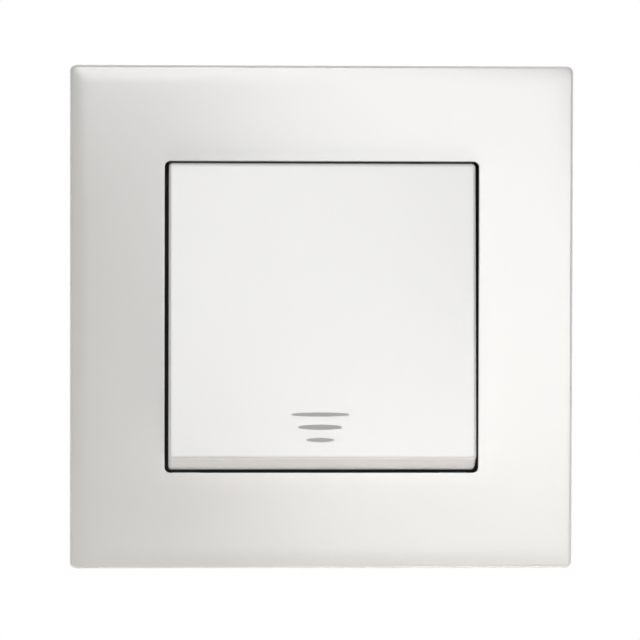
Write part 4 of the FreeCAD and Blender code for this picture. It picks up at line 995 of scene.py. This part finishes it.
def white_surround():
    """A world that lights faintly and shows white to the camera, to gloss and through glass."""
    world = bpy.data.worlds.new("surround")
    bpy.context.scene.world = world
    world.use_nodes = True
    tree = world.node_tree
    tree.nodes.clear()
    soft = tree.nodes.new("ShaderNodeBackground")
    soft.inputs["Strength"].default_value = SURROUND_LIGHT
    white = tree.nodes.new("ShaderNodeBackground")
    white.inputs["Strength"].default_value = 1.0
    for background in (soft, white):
        background.inputs["Color"].default_value = (1, 1, 1, 1)
    mix = tree.nodes.new("ShaderNodeMixShader")
    tree.links.new(seen_ray(tree), mix.inputs["Fac"])
    tree.links.new(soft.outputs[0], mix.inputs[1])
    tree.links.new(white.outputs[0], mix.inputs[2])
    out = tree.nodes.new("ShaderNodeOutputWorld")
    tree.links.new(mix.outputs[0], out.inputs["Surface"])


def direction(azimuth, elevation):
    """The direction out from the switch's front: azimuth to the right, elevation up, in degrees."""
    a, e = math.radians(azimuth), math.radians(elevation)
    return Vector((math.sin(a) * math.cos(e), -math.cos(a) * math.cos(e), math.sin(e)))


def soft_light(name, place, size, light, roll=0.0):
    """A flat lamp that faces the middle of the plate, with its place and size in millimetres.

    Light is its radiance, where a fully lit white wall has 1, and roll turns it in degrees."""
    lamp = bpy.data.lights.new(name, "AREA")
    lamp.shape = "RECTANGLE"
    lamp.size, lamp.size_y = size[0] * MM, size[1] * MM
    lamp.energy = light * math.pi * lamp.size * lamp.size_y
    obj = bpy.data.objects.new(name, lamp)
    bpy.context.scene.collection.objects.link(obj)
    target = Vector((0, FRONT_Y, 0)) * MM
    spot = Vector(place) * MM
    aim = (target - spot).to_track_quat("-Z", "Y").to_matrix().to_4x4()
    obj.matrix_world = Matrix.Translation(spot) @ aim @ Matrix.Rotation(math.radians(roll), 4, "Z")


def floor_light():
    """A spot on the floor in front of the switch, which lights the rocker's lower end from below."""
    lamp = bpy.data.lights.new("floor_light", "SPOT")
    lamp.energy = FLOOR_LIGHT
    lamp.spot_size = math.radians(FLOOR_LIGHT_CONE)
    lamp.spot_blend = FLOOR_LIGHT_BLEND
    lamp.shadow_soft_size = FLOOR_LIGHT_SOFT
    obj = bpy.data.objects.new("floor_light", lamp)
    bpy.context.scene.collection.objects.link(obj)
    spot, target = Vector(FLOOR_LIGHT_PLACE) * MM, Vector(FLOOR_LIGHT_TARGET) * MM
    obj.location = spot
    obj.rotation_euler = (target - spot).to_track_quat("-Z", "Y").to_euler()


def far(azimuth, elevation):
    """The place of a far lamp by its direction from the switch."""
    return direction(azimuth, elevation) * FAR


def camera():
    """The photograph's view: almost square on, from a little to the left and above."""
    data = bpy.data.cameras.new("camera")
    data.lens = LENS
    data.sensor_width = 36.0
    data.clip_start = 0.01
    obj = bpy.data.objects.new("camera", data)
    bpy.context.scene.collection.objects.link(obj)
    target = Vector(AIM)
    place = target + direction(-CAMERA_LEFT, CAMERA_UP) * CAMERA_DISTANCE
    aim = (target - place).to_track_quat("-Z", "Y").to_matrix()
    obj.location = place * MM
    obj.rotation_euler = (aim @ Matrix.Rotation(math.radians(CAMERA_ROLL), 3, "Z")).to_euler()
    bpy.context.scene.camera = obj


floor()
white_surround()
soft_light("key_right", (217, -1410, -17), (445, 270), 7.2, roll=3.5)
soft_light("key_upper", (25, -1410, 285), (350, 364), 7.1)
soft_light("key_low", (232, -1410, -287), (415, 250), 2.2)
soft_light("top", (0, -300, 1250), (2000, 1300), 1.25)
floor_light()
soft_light("left_back", far(-110, 5), (1200, 1000), 1.8)
soft_light("right_back", far(110, 5), (1200, 1000), 1.6)
soft_light("back", far(180, 28), (1000, 900), 1.8)
camera()
bpy.context.scene.view_settings.view_transform = "Standard"
